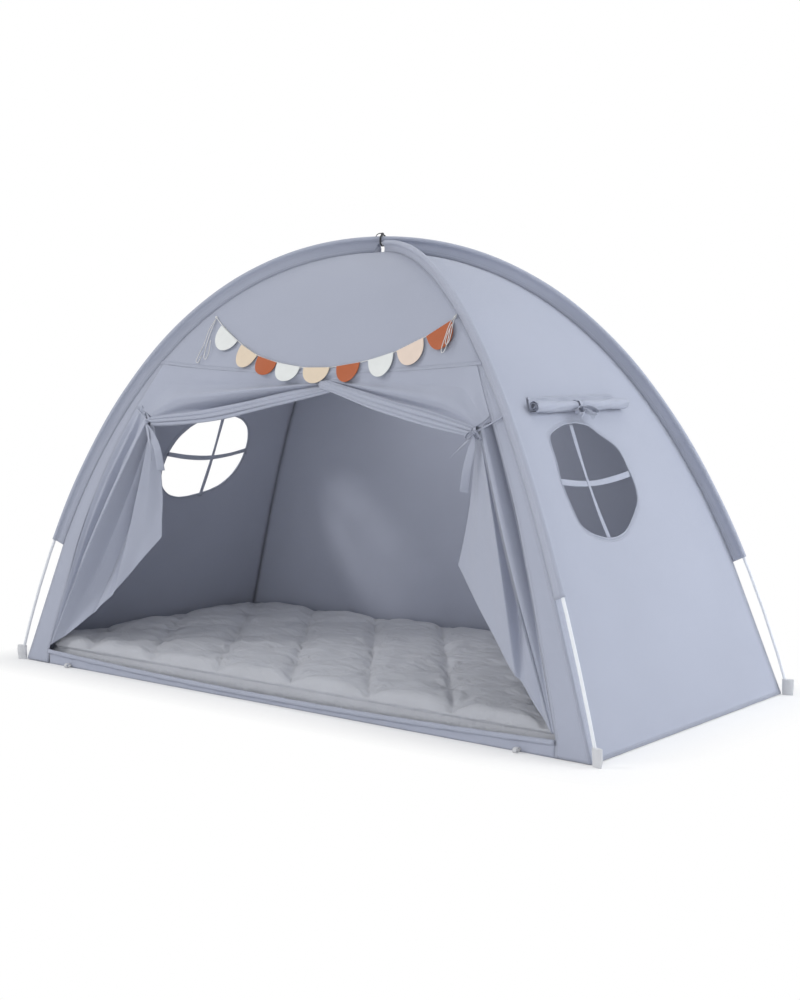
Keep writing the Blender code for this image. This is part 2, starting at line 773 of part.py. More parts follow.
def make_window_frames(parts, cutters):
    inset = WINDOW_BINDING_RADIUS + GAP
    reach = WINDOW_BINDING_RADIUS / 2
    for name, side, middle in (("left", -1, WINDOW_LEFT_Y), ("right", 1, WINDOW_RIGHT_Y)):
        points = [side_point(side, y, z) for y, z in window_outline(middle, inset)]
        title = f"{name}_window_frame"
        ring = curve_object(title, points, WINDOW_BINDING_RADIUS, parts, "webbing", 1, cyclic=True)
        ring = as_mesh(ring, parts)
        ring.data.materials.clear()
        ring.data.materials.append(material("webbing"))
        low = WINDOW_HEIGHT - WINDOW_HALF_HEIGHT + inset - reach
        high = WINDOW_HEIGHT + WINDOW_HALF_HEIGHT - inset + reach
        heights = np.linspace(low, high, 7)
        upright = band(
            f"{name}_strap_upright",
            [side_point(side, middle, z) for z in heights],
            [np.array([side * wall_normal(z, False)[0], 0, wall_normal(z, False)[1]]) for z in heights],
            [np.array([0, 1, 0])] * 7,
            WINDOW_STRAP_WIDTH,
            CLOTH,
            cutters,
            "webbing",
        )
        wide = WINDOW_HALF_WIDTH - inset + reach
        places = np.linspace(-wide, wide, 7)
        drops = [WINDOW_HEIGHT - WINDOW_STRAP_SAG * (1 - (place / wide) ** 2) for place in places]
        level = band(
            f"{name}_strap_level",
            [side_point(side, middle + place, z) for place, z in zip(places, drops)],
            [np.array([side * wall_normal(z, False)[0], 0, wall_normal(z, False)[1]]) for z in drops],
            [np.array([-side * wall_normal(z, False)[1], 0, wall_normal(z, False)[0]]) for z in drops],
            WINDOW_STRAP_WIDTH,
            CLOTH * 1.2,
            cutters,
            "webbing",
        )
        joined(ring, [upright, level], cutters)


def sill_place(x):
    """Centre of the rolled front hem of the floor."""
    height = SILL_END_HEIGHT - SILL_SAG * (1 - (x / SILL_HALF_LENGTH) ** 2)
    return np.array([x, -wall_y(SILL_END_HEIGHT), height])


def make_floor(parts, cutters):
    half_x, half_y = ROWS[0][0] + HALF_CLOTH, ROWS[0][1] + HALF_CLOTH
    bpy.ops.mesh.primitive_cube_add(size=1, location=(0, 0, CLOTH / 2))
    floor = bpy.context.active_object
    floor.name = "floor_sheet"
    floor.dimensions = (2 * half_x, 2 * half_y, CLOTH)
    bpy.ops.object.transform_apply(location=True, rotation=True, scale=True)
    floor.data.materials.append(material("lining"))
    for group in list(floor.users_collection):
        group.objects.unlink(floor)
    parts.objects.link(floor)
    sections = []
    end = SILL_HALF_LENGTH - GAP
    for x in np.linspace(-end, end, SILL_SEGMENTS + 1):
        centre = sill_place(x)
        root = np.array([x, centre[1] + SILL_FLAP_RUN, CLOTH / 2])
        down = unit(root - centre)
        across = np.array([0, -down[2], down[1]])
        start = math.asin(HALF_CLOTH / SILL_RADIUS)
        ring = []
        for angle in np.linspace(start, 2 * math.pi - start, 8):
            turned = down * math.cos(angle) + across * math.sin(angle)
            ring.append(centre + turned * SILL_RADIUS)
        ring += [root - across * HALF_CLOTH, root + across * HALF_CLOTH]
        sections.append(ring)
    sill = sweep("sill_roll", sections, cutters, "cloth")
    joined(floor, [sill], cutters)


def make_mat(parts):
    columns, rows = MAT_GRID_COLUMNS, MAT_GRID_ROWS
    base = FLOOR_TOP + GAP
    half_x, half_y = MAT_LENGTH / 2, MAT_DEPTH / 2

    def eased(count, half):
        """Places across the mat, closer together near its edges."""
        return [half * math.sin(math.pi / 2 * (2 * place / count - 1)) for place in range(count + 1)]

    def dimple(x, y):
        deepest = 0.0
        for column in range(MAT_TUFT_COLUMNS):
            for row in range(MAT_TUFT_ROWS):
                tuft_x = MAT_LENGTH * ((column + 0.5) / MAT_TUFT_COLUMNS - 0.5)
                tuft_y = MAT_DEPTH * ((row + 0.5) / MAT_TUFT_ROWS - 0.5)
                away = math.hypot(x - tuft_x, y - tuft_y) / MAT_TUFT_RADIUS
                deepest = max(deepest, math.exp(-away * away))
        return MAT_TUFT_DEPTH * deepest

    def top(x, y):
        edge = min(half_x - abs(x), half_y - abs(y), MAT_EDGE_RADIUS) / MAT_EDGE_RADIUS
        crown = math.sqrt(1 - (1 - edge) ** 2)
        height = MAT_BAND_HEIGHT + (MAT_HEIGHT - MAT_BAND_HEIGHT) * crown
        return base + height - dimple(x, y) * crown

    xs, ys = eased(columns, half_x), eased(rows, half_y)
    points = [(x, y, top(x, y)) for y in ys for x in xs]
    faces = []
    for row in range(rows):
        for column in range(columns):
            a = row * (columns + 1) + column
            faces.append((a, a + 1, a + columns + 2, a + columns + 1))
    rim = list(range(columns + 1))
    rim += [row * (columns + 1) + columns for row in range(1, rows + 1)]
    rim += [rows * (columns + 1) + column for column in range(columns - 1, -1, -1)]
    rim += [row * (columns + 1) for row in range(rows - 1, 0, -1)]
    start = len(points)
    shrink_x, shrink_y = 1 - MAT_BASE_INSET / half_x, 1 - MAT_BASE_INSET / half_y
    points += [(points[place][0] * shrink_x, points[place][1] * shrink_y, base) for place in rim]
    for count, place in enumerate(rim):
        following = (count + 1) % len(rim)
        faces.append((place, start + count, start + following, rim[following]))
    faces.append(tuple(reversed(range(start, start + len(rim)))))
    return mesh_object("floor_mat", points, faces, parts, "mat")


def swag_start(side):
    """Where this side's curtain begins, counted outwards from the door's centre."""
    return side * SWAG_MEETING_X + SWAG_CENTRE_GAP


def swag_line(share, side):
    """Middle of the gathered edge, from where the curtains meet to the knot."""
    x = swag_start(side) + (KNOT_X - KNOT_RADIUS - SWAG_KNOT_GAP - swag_start(side)) * share
    height = KNOT_HEIGHT + SWAG_CENTRE_RISE * (1 - share)
    return x, height - (SWAG_LEFT_SAG if side < 0 else SWAG_RIGHT_SAG) * math.sin(math.pi * share)


def swag_top(share, side):
    """The sewn edge: along the transom, then down the door's side to the tie."""
    along = TRANSOM_HALF_LENGTH - swag_start(side)
    down = math.hypot(TRANSOM_END_HEIGHT - TIE_HEIGHT, door_edge_x(TIE_HEIGHT) - TRANSOM_HALF_LENGTH)
    run = share * (along + down)
    if run <= along:
        x = swag_start(side) + run
        return x - GAP, transom_height(x) - GAP - HALF_CLOTH
    height = TRANSOM_END_HEIGHT - (TRANSOM_END_HEIGHT - TIE_HEIGHT) * (run - along) / down
    return door_edge_x(height) - HALF_CLOTH - GAP, height - HALF_CLOTH


def swag_section(share, side):
    """The upper cloth and the gathered edge below it, at a share of the way from the middle to the knot."""
    top_x, top_height = swag_top(share, side)
    rope_x, rope_height = swag_line(share, side)
    narrow, middle = share**6, (1 - share) ** 3
    high = (SWAG_ROPE_HEIGHT * (1 - narrow) + 2 * SWAG_NECK_RADIUS * narrow) / 2
    deep = (SWAG_ROPE_DEPTH * (1 - narrow) + 2 * SWAG_NECK_RADIUS * narrow) / 2
    high, deep = high * (1 - SWAG_CENTRE_NARROW * middle), deep * (1 - SWAG_CENTRE_NARROW * middle)
    recess = SWAG_CENTRE_RECESS * middle
    outside, inside = [], []
    for part in SWAG_PANEL_SHARES:
        x = top_x + (rope_x - top_x) * part
        height = top_height + (rope_height + high - top_height) * part
        dip = -deep * SWAG_DIP_SHARE * math.sin(math.pi * part) - recess * part
        outside.append(front_point(x, height, dip + HALF_CLOTH))
        inside.append(front_point(x, height, dip - HALF_CLOTH))
    rope = []
    for angle in np.linspace(math.radians(60), math.radians(-240), 8):
        height = rope_height + high * math.sin(angle)
        rope.append(front_point(rope_x, height, KNOT_OUT * narrow - recess + deep * math.cos(angle)))
    ring = outside + rope + list(reversed(inside))
    return [point * np.array([side, 1, 1]) for point in ring]


def ridge_line():
    """The fold from the knot to the end of the sill, on which the free panel swings."""
    high = front_point(KNOT_X + DRAPE_NECK / 2, KNOT_HEIGHT - SWAG_NECK_RADIUS - KNOT_RADIUS, KNOT_OUT)
    height = SILL_TOP + DRAPE_HEM_CLEARANCE
    low = front_point(door_edge_x(height) - DRAPE_CLEARANCE, height)
    return high, low


def make_curtains(parts, cutters):
    """Each curtain's sewn cloth: the swag over the door, and the side part out to the door's edge."""
    high, low = ridge_line()
    for name, side in (("left", -1), ("right", 1)):
        sections = [swag_section(count / SWAG_COLUMNS, side) for count in range(SWAG_COLUMNS + 1)]
        swag = sweep(f"{name}_curtain", sections, parts, "cloth")
        points, faces = [], []
        mirror = np.array([side, 1, 1])
        for row in range(DRAPE_ROWS + 1):
            down = row / DRAPE_ROWS
            height = TIE_HEIGHT + DRAPE_TOP_LAP - (TIE_HEIGHT + DRAPE_TOP_LAP - low[2]) * down
            edge = front_point(door_edge_x(height) - HALF_CLOTH - GAP, height)
            ridge = high + (low - high) * down
            for column in range(DRAPE_SIDE_COLUMNS + 1):
                across = column / DRAPE_SIDE_COLUMNS
                point = edge + (ridge - edge) * across
                spread = math.sin(math.pi * min(down + DRAPE_FOLD_START_SHARE, 1.0))
                valley = DRAPE_VALLEY * math.sin(math.pi * across) ** 2
                point[1] += (valley - DRAPE_RIDGE * across**2) * spread
                points.append(point * mirror)
        width = DRAPE_SIDE_COLUMNS + 1
        for row in range(DRAPE_ROWS):
            for column in range(DRAPE_SIDE_COLUMNS):
                a = row * width + column
                faces.append((a, a + 1, a + width + 1, a + width))
        sheet = mesh_object(f"{name}_curtain_side", points, faces, cutters, "cloth")
        solidify(sheet, CLOTH)
        joined(swag, [sheet], cutters)


def make_free_panels(parts):
    """The free part of each curtain, which hangs from the knot and the sill's end and swings outwards."""
    high, low = ridge_line()
    back = np.array([0.0, DRAPE_RIDGE_GAP, 0.0])
    for name, side in (("left", -1), ("right", 1)):
        points, faces = [], []
        mirror = np.array([side, 1, 1])
        plumb = unit((low - high) * np.array([1, 1, 0]))
        run = (DRAPE_FREE_X - high[0]) / plumb[0]
        free = high + plumb * run
        free[2] = DRAPE_FREE_HEIGHT
        shift = back - np.array([DRAPE_RIDGE_GAP, 0, 0])
        start, end = high + shift, low + shift
        for row in range(DRAPE_ROWS + 1):
            spread = row / DRAPE_ROWS
            for column in range(DRAPE_COLUMNS + 1):
                share = column / DRAPE_COLUMNS
                hem = end + (free + back - end) * share
                hem[2] -= DRAPE_HEM_SAG * math.sin(math.pi * share)
                top = start - np.array([DRAPE_NECK * share, 0, 0])
                point = top + (hem - top) * spread
                fold = math.sin(2 * math.pi * DRAPE_FOLD_COUNT * share) * math.sin(math.pi * share) ** 0.5
                point[1] += DRAPE_FOLD_DEPTH * fold * math.sin(math.pi * min(spread, 0.75) / 1.5)
                points.append(point * mirror)
        width = DRAPE_COLUMNS + 1
        for row in range(DRAPE_ROWS):
            for column in range(DRAPE_COLUMNS):
                a = row * width + column
                faces.append((a, a + 1, a + width + 1, a + width))
        panel = mesh_object(f"{name}_curtain_free_panel", points, faces, parts, "cloth")
        solidify(panel, DRAPE_THICKNESS)
        put_origin(panel, end * mirror)


def ball(name, centre, sizes, group, look, rings=6, segments=10):
    """A knot: a sphere stretched to three half sizes."""
    sections = []
    for ring in range(1, rings):
        polar = math.pi * ring / rings
        circle = []
        for count in range(segments):
            turn = 2 * math.pi * count / segments
            level = math.sin(polar)
            offset = np.array([level * math.cos(turn), level * math.sin(turn), math.cos(polar)])
            circle.append(np.asarray(centre) + offset * np.asarray(sizes))
        sections.append(circle)
    return sweep(name, sections, group, look)


def make_tie_backs(parts, cutters):
    """A strap from the door's side to a knot round the gathered curtain, with two loose tails."""
    for name, side in (("left", -1), ("right", 1)):
        mirror = np.array([side, 1, 1])
        centre = front_point(KNOT_X, KNOT_HEIGHT, KNOT_OUT)
        sizes = (KNOT_RADIUS, KNOT_RADIUS, KNOT_RADIUS)
        knot = ball(f"{name}_tie_back", centre * mirror, sizes, parts, "webbing")
        anchor_x = (door_edge_x(TIE_HEIGHT) + wall_x(TIE_HEIGHT)) / 2
        anchor = front_point(anchor_x, TIE_HEIGHT, HALF_CLOTH + GAP + TIE_STRAP_THICKNESS)
        shares = (0.0, 0.35, 0.7, 1.0)
        line = [centre + (anchor - centre) * share for share in shares]
        across, up = wall_normal(TIE_HEIGHT, True)
        outward = np.array([0, -across, up])
        along = unit(anchor - centre)
        wide = unit(np.cross(along, outward))
        strap = band(
            f"{name}_tie_strap",
            [point * mirror for point in line],
            [outward * mirror] * len(line),
            [wide * mirror] * len(line),
            TIE_STRAP_WIDTH,
            TIE_STRAP_THICKNESS,
            cutters,
            "webbing",
        )
        helpers = [strap]
        for count, spread in enumerate((-1, 1)):
            places = []
            for share in (0.0, 0.3, 0.65, 1.0):
                x = centre[0] - TIE_TAIL_SPREAD * (spread * 0.5 + 0.5) * share
                drop = TIE_TAIL_LENGTH * (1 - 0.25 * count) * share
                out = KNOT_RADIUS + (TIE_TAIL_CLEARANCE + DRAPE_RIDGE) * share
                places.append(np.array([x, centre[1] - out, centre[2] - drop]) * mirror)
            tail = band(
                f"{name}_tie_tail_{count + 1}",
                places,
                [np.array([0, -1, 0])] * 4,
                [np.array([side, 0, 0])] * 4,
                TIE_TAIL_WIDTH,
                TIE_STRAP_THICKNESS,
                cutters,
                "webbing",
            )
            helpers.append(tail)
        joined(knot, helpers, cutters)


def make_window_covers(parts, cutters):
    """Each window's cover, rolled up outside under its seam, with the band that holds the roll."""
    margin = HALF_CLOTH + GAP + COVER_CLOTH / 2
    end_radius = COVER_CORE_RADIUS + COVER_PITCH * COVER_TURNS
    for name, side, middle in (("left", -1, COVER_LEFT_Y), ("right", 1, COVER_RIGHT_Y)):
        mirror = np.array([side, 1, 1])
        across, up = wall_normal(COVER_SEAM_HEIGHT, False)
        out, rise = np.array([across, 0, up]), np.array([-up, 0, across])
        seam = side_point(1, middle, COVER_SEAM_HEIGHT, margin)
        centre = seam + out * end_radius - rise * COVER_HANG
        line = []
        steps = int(COVER_TURNS * COVER_TURN_POINTS)
        for step in range(steps + 1):
            turned = 2 * math.pi * COVER_TURNS * step / steps
            radius = COVER_CORE_RADIUS + COVER_PITCH * turned / (2 * math.pi)
            angle = math.pi + 2 * math.pi * COVER_TURNS - turned
            line.append(centre + out * radius * math.cos(angle) + rise * radius * math.sin(angle))
        line.append(seam)
        outer, inner = [], []
        for place, point in enumerate(line):
            ahead, behind = line[min(place + 1, len(line) - 1)], line[max(place - 1, 0)]
            square = unit(np.cross(ahead - behind, np.array([0, 1, 0]))) * COVER_CLOTH / 2
            outer.append(point + square)
            inner.append(point - square)
        outline = outer + list(reversed(inner))
        rings = []
        for shift in (-COVER_LENGTH / 2, COVER_LENGTH / 2):
            rings.append([(point + np.array([0, shift, 0])) * mirror for point in outline])
        cover = sweep(f"{name}_window_cover", rings, parts, "cloth")
        put_origin(cover, seam * mirror)
        reach = end_radius + COVER_CLOTH / 2 + GAP + COVER_TIE_THICKNESS / 2
        angles = np.radians(np.linspace(COVER_TIE_TOP_ANGLE, COVER_TIE_LOW_ANGLE, 15))
        places = [centre + (out * math.cos(angle) + rise * math.sin(angle)) * reach for angle in angles]
        normals = [out * math.cos(angle) + rise * math.sin(angle) for angle in angles]
        tie = band(
            f"{name}_cover_tie",
            [point * mirror for point in places],
            [normal * mirror for normal in normals],
            [np.array([0, 1, 0])] * len(places),
            COVER_TIE_WIDTH,
            COVER_TIE_THICKNESS,
            parts,
            "webbing",
        )
        low = centre + (out * 0.7 - rise * 0.7) * (reach + COVER_KNOT_RADIUS * 0.6)
        sizes = (COVER_KNOT_RADIUS, COVER_KNOT_RADIUS * 1.3, COVER_KNOT_RADIUS)
        helpers = [ball(f"{name}_cover_knot", low * mirror, sizes, cutters, "webbing")]
        for count, spread in enumerate((-1, 1)):
            tail = []
            for share in (0.0, 0.4, 1.0):
                shift = np.array([0, spread * (COVER_TAIL_SPREAD * share + COVER_KNOT_RADIUS / 2), 0])
                tail.append((low + shift - rise * COVER_TAIL_LENGTH * share) * mirror)
            helpers.append(
                band(
                    f"{name}_cover_tail_{count + 1}",
                    tail,
                    [out * mirror] * 3,
                    [np.array([0, 1, 0])] * 3,
                    COVER_TIE_WIDTH * 0.6,
                    COVER_TIE_THICKNESS,
                    cutters,
                    "webbing",
                )
            )
        joined(tie, helpers, cutters)
        put_origin(tie, seam * mirror)


def bunting_place(x, out):
    middle, half = (BUNTING_LEFT_X + BUNTING_RIGHT_X) / 2, (BUNTING_RIGHT_X - BUNTING_LEFT_X) / 2
    height = BUNTING_HEIGHT - BUNTING_SAG * (1 - ((x - middle) / half) ** 2)
    return front_point(x, height, out)


def make_bunting(parts):
    """A string over the door, with half-round flags that can lift on it."""
    out = HALF_CLOTH + GAP + BUNTING_STRING_RADIUS
    line = [bunting_place(x, out) for x in np.linspace(BUNTING_LEFT_X, BUNTING_RIGHT_X, BUNTING_POINTS)]
    for end, side in ((0, -1), (-1, 1)):
        tail = []
        for share in (0.08, 0.35, 0.7, 1.0):
            x = line[end][0] - side * BUNTING_TAIL_SPREAD * math.sin(math.pi * share)
            tail.append(front_point(x, BUNTING_HEIGHT - BUNTING_TAIL_LENGTH * share, out + BUNTING_TAIL_OUT))
        line = list(reversed(tail)) + line if end == 0 else line + tail
    string = curve_object("bunting_string", line, BUNTING_STRING_RADIUS, parts, "cord_white", 1)
    as_mesh(string, parts).data.shade_smooth()
    pitch = (FLAG_LAST_X - FLAG_FIRST_X) / (len(FLAG_COLOURS) - 1)
    for count, colour in enumerate(FLAG_COLOURS):
        x = FLAG_FIRST_X + pitch * count
        step = pitch / 4
        slope = bunting_place(x + step, out) - bunting_place(x - step, out)
        along = unit(slope)
        axis = bunting_place(x, out)
        across, up = wall_normal(axis[2] + FLAG_HEIGHT / 4, True)
        normal = np.array([0, -across, up])
        along = unit(along - along.dot(normal) * normal)
        down = unit(np.cross(along, normal))
        if down[2] > 0:
            down = -down
        outline = []
        for place in range(FLAG_ARC_POINTS + 1):
            angle = math.pi * place / FLAG_ARC_POINTS
            drop = FLAG_STRING_GAP + FLAG_HEIGHT * math.sin(angle) ** 0.9
            outline.append(axis + along * (FLAG_WIDTH / 2) * math.cos(angle) + down * drop)
        deficits = []
        for point in outline:
            wall = front_point(point[0], point[2])
            deficits.append(HALF_CLOTH + GAP + FLAG_THICKNESS / 2 - (wall[1] - point[1]) * across)
        lift = normal * max(0.0, *deficits)
        half = normal * FLAG_THICKNESS / 2
        rings = [[point + lift - half for point in outline], [point + lift + half for point in outline]]
        flag = sweep(f"flag_{count + 1}", rings, parts, colour)
        put_origin(flag, axis)


def make_trim(parts, cutters):
    """The patch under the crown, the tie at the crossing and the two loops for pegs."""
    crown = seam_at(ARCH.half_length)
    places, heights = [0, ROWS[-1][0], ROWS[-2][0]], [crown[2], ROWS[-1][2], ROWS[-2][2]]
    edge = np.interp(APEX_PATCH_WIDTH / 2, places, heights)
    top = edge - HALF_CLOTH - 3 * GAP
    bpy.ops.mesh.primitive_cube_add(size=1, location=(0, 0, top - CLOTH / 2))
    patch = bpy.context.active_object
    patch.name = "apex_patch"
    patch.dimensions = (APEX_PATCH_WIDTH, APEX_PATCH_DEPTH, CLOTH)
    bpy.ops.object.transform_apply(location=True, rotation=True, scale=True)
    patch.data.materials.append(material("lining"))
    for group in list(patch.users_collection):
        group.objects.unlink(patch)
    parts.objects.link(patch)

    reach = (SLEEVE_RADIUS + APEX_TIE_RADIUS + GAP) * APEX_TIE_EASE
    over = CROWN_HEIGHT + CROSSING_RISE
    under = CROWN_HEIGHT - CROSSING_RISE
    low = under - POLE_RADIUS - APEX_TIE_RADIUS - GAP
    ring = []
    for angle in np.radians(np.linspace(0, 180, 9)):
        ring.append((0, reach * APEX_TIE_EASE * math.cos(angle), over + reach * math.sin(angle)))
    wide = reach * APEX_TIE_EASE
    ring += [(0, -wide, under), (0, -reach / 2, low), (0, reach / 2, low), (0, wide, under)]
    loop = curve_object("apex_tie", ring, APEX_TIE_RADIUS, parts, "tie_dark", 1, cyclic=True)
    loop = as_mesh(loop, parts)
    loop.data.shade_smooth()
    top_point = np.array([0, 0, over + reach + APEX_TIE_RADIUS])
    helpers = [ball("apex_knot", top_point, (APEX_TIE_RADIUS * 2,) * 3, cutters, "tie_dark")]
    for side in (-1, 1):
        tail = []
        for share in (0.0, 0.5, 1.0):
            x = -APEX_TIE_TAIL * share * 0.5 * side
            y = -(reach + 3 * APEX_TIE_RADIUS) * share
            tail.append(top_point + np.array([x, y, APEX_TIE_RADIUS * math.sin(math.pi * share)]))
        tube = curve_object(f"apex_tail_{side + 2}", tail, APEX_TIE_RADIUS * 0.7, cutters, "tie_dark", 1)
        helpers.append(as_mesh(tube, cutters))
    joined(loop, helpers, cutters)

    for name, side in (("left", -1), ("right", 1)):
        half_long, half_high = PEG_LOOP_LENGTH / 2, PEG_LOOP_HEIGHT / 2
        rise = (half_high + GAP - FLOOR_TOP) / half_high
        front = -ROWS[0][1] - HALF_CLOTH - GAP - half_long * math.sqrt(1 - rise * rise)
        centre = np.array([side * PEG_LOOP_X, front, half_high + GAP])
        inner, outer = [], []
        for angle in np.linspace(0, 2 * math.pi, 17)[:-1]:
            spot = np.array([0, math.cos(angle), math.sin(angle)])
            outer.append(centre + spot * np.array([0, half_long, half_high]))
            shrink = PEG_LOOP_THICKNESS
            inner.append(centre + spot * np.array([0, half_long - shrink, half_high - shrink]))
        half = np.array([PEG_LOOP_WIDTH / 2, 0, 0])
        sections = [[o - half, o + half, i + half, i - half] for o, i in zip(outer, inner)]
        sweep(f"{name}_peg_loop", sections, parts, "webbing", closed=True)


def main():
    clear_scene()
    parts = collection(NAME)
    cutters = collection("cutters", hidden=True)
    make_poles(parts)
    make_sleeves(parts)
    make_corner_pockets(parts, cutters)
    make_walls(parts, cutters)
    make_window_frames(parts, cutters)
    make_floor(parts, cutters)
    make_mat(parts)
    make_curtains(parts, cutters)
    make_free_panels(parts)
    make_tie_backs(parts, cutters)
    make_window_covers(parts, cutters)
    make_bunting(parts)
    make_trim(parts, cutters)


main()
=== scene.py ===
"""The play tent's dressed model: cloth, curtains, mat and trim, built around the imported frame."""

import math

import bpy
import numpy as np
from bpy.props import FloatProperty, FloatVectorProperty, IntProperty, PointerProperty
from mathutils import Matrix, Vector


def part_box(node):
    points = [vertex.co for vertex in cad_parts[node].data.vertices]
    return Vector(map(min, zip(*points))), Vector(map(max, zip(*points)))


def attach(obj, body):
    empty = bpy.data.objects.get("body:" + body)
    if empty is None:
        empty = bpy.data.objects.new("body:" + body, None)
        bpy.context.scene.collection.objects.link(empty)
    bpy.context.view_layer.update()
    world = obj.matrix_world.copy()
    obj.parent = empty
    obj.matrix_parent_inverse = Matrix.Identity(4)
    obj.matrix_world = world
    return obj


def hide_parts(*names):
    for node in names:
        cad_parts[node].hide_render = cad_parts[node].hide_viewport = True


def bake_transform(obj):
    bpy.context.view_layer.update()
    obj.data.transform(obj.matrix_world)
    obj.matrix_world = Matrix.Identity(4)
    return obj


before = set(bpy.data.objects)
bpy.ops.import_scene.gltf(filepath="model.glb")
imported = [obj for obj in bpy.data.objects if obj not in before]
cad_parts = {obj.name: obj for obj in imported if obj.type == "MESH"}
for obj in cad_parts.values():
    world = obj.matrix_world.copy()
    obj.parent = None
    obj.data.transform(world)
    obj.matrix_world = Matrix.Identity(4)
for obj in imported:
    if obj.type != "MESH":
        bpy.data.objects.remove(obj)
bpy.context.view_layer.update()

bl_info = {
    "name": "Play Tent",
    "version": (1, 0, 0),
    "blender": (4, 5, 0),
    "location": "View3D > Sidebar > Play Tent",
    "description": "Builds a child's play tent with curtains, windows, bunting and a tufted mat",
    "category": "Object",
}

# The frame's own sizes in metres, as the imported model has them
WIDTH, DEPTH, CROWN = 2.000, 0.950, 1.203
FOOT_SETBACK, FOOT_RISE, CROWN_SHARE, PLAN_BULGE = 0.14, 0.41, 0.56, 0.21
POLE_FOOT = 0.0035
CROSSING_RISE = 0.006075
SLEEVE_STANDOFF = 0.030
SLEEVE_END_HEIGHT = 0.360
HEM_HEIGHT = 0.0026
SEAM_SETBACK = 0.020
TRANSOM_DROP, TRANSOM_SAG = 0.333, 0.024
TIE_DROP = 0.118
TRANSOM = CROWN - TRANSOM_DROP
TIE_HEIGHT = TRANSOM - TIE_DROP
SILL_HEIGHT, SILL_SAG, SILL_RADIUS = 0.036, 0.018, 0.007
COVER_SEAM = 0.790

# The tent's left and right in the photograph, with the sign of x there
SIDES = (("left", -1), ("right", 1))

# The door's edge: the height of its foot, and how far it stays from the corner seam at its foot, tie and top
DOOR_FOOT, MARGIN_FOOT, MARGIN_TIE, MARGIN_TOP = 0.043, 0.0832, 0.034, 0.0135
# How far the walls' cloth stops short of the corner seams
EDGE_INSET = 0.0004
# The height that the flags' measured drops belong to
FLAG_DROP = 0.055

# The photograph's camera: its turn and tilt in degrees, its place, its focal length and centre in pixels
CAMERA_YAW, CAMERA_PITCH = 38.560, -6.330
CAMERA_PLACE = (2.7621, -3.3324, 0.8847)
CAMERA_FOCAL, CAMERA_CENTRE = 1567.1, (412.9, 532.6)
PHOTO_WIDTH, PHOTO_HEIGHT, SENSOR = 800, 1000, 36.0


def metres(name, text, value, low, high):
    return FloatProperty(name=name, description=text, default=value, min=low, max=high, unit="LENGTH")


class PlayTentSizes(bpy.types.PropertyGroup):
    """Sizes of the cloth and trim, in metres."""

    cloth: metres("Cloth", "Thickness of the tent cloth", 0.0009, 0.0003, 0.002)
    relief: metres("Relief", "Depth of the soft waves in the walls", 0.0024, 0.0, 0.006)
    pucker: metres("Pucker", "Depth of the small gathers along seams", 0.0009, 0.0, 0.003)
    stitch: metres("Stitch", "Length of one stitch", 0.0034, 0.001, 0.008)
    thread: metres("Thread", "Spacing of the threads in the weave", 0.0011, 0.0004, 0.003)
    fold: metres("Fold", "Depth of the curtains' folds", 0.016, 0.004, 0.03)
    rope_folds: IntProperty(
        name="Rope folds", description="Folds round each gathered swag", default=7, min=4, max=14)
    string: metres("String", "Diameter of the bunting string", 0.0024, 0.001, 0.004)
    flag_height: metres("Flag height", "Height of a middling flag", FLAG_DROP, 0.03, 0.06)
    mat_height: metres("Mat height", "Height of the mat at its puffs", 0.084, 0.04, 0.1)
    mat_grid: metres("Mat grid", "Spacing of the mat's mesh", 0.0075, 0.005, 0.03)


def colour(name, text, value):
    return FloatVectorProperty(name=name, description=text, default=value, size=3, min=0, max=1, subtype="COLOR")


class PlayTentColours(bpy.types.PropertyGroup):
    """Colours of the cloth and trim."""

    cloth: colour("Cloth", "Tent cloth, curtains and sleeves", (0.405, 0.432, 0.525))
    # The lining colour also paints the shade along the inner corner seams, on the seam fins.
    lining: colour("Lining", "Floor sheet and the patch under the crown", (0.33, 0.35, 0.42))
    webbing: colour("Webbing", "Corner pockets and peg loops", (0.70, 0.71, 0.74))
    mat: colour("Mat", "Cover of the mat", (0.70, 0.72, 0.785))
    pole: colour("Pole", "Pole tubes", (0.78, 0.80, 0.84))
    metal: colour("Metal", "Ferrules over the pole joints", (0.60, 0.60, 0.61))
    cord: colour("Cord", "Bunting string and the cord in the poles", (0.84, 0.84, 0.84))
    tie: colour("Dark tie", "Tie at the crown", (0.035, 0.037, 0.045))
    white: colour("White felt", "White flags", (0.74, 0.76, 0.75))
    cream: colour("Cream felt", "Cream flags", (0.72, 0.60, 0.46))
    peach: colour("Peach felt", "Peach flag", (0.76, 0.625, 0.53))
    rust: colour("Rust felt", "Rust flags", (0.42, 0.095, 0.022))


def sizes():
    return bpy.context.scene.play_tent_sizes


def colours():
    return bpy.context.scene.play_tent_colours


# ---------------------------------------------------------------- shape helpers


def unit(vectors):
    vectors = np.asarray(vectors, float)
    return vectors / np.maximum(np.linalg.norm(vectors, axis=-1, keepdims=True), 1e-12)


def ease(share):
    share = np.clip(share, 0.0, 1.0)
    return share * share * (3 - 2 * share)


def ripples(u, v, size, seed, count=7):
    """A smooth random surface of waves about one size long, between -1 and 1."""
    rng = np.random.default_rng(seed)
    total = np.zeros(np.broadcast(u, v).shape)
    for _ in range(count):
        turn, phase = rng.uniform(0, 2 * math.pi, 2)
        k = 2 * math.pi / (size * rng.uniform(0.7, 1.6))
        total = total + np.sin(k * (u * math.cos(turn) + v * math.sin(turn)) + phase)
    return total / count ** 0.5 / 1.4


def crests(values):
    """Turns a wave into rounded ridges with narrow valleys, between -1 and 1."""
    return 2 * np.abs(np.sin(values / 2)) ** 0.7 - 1


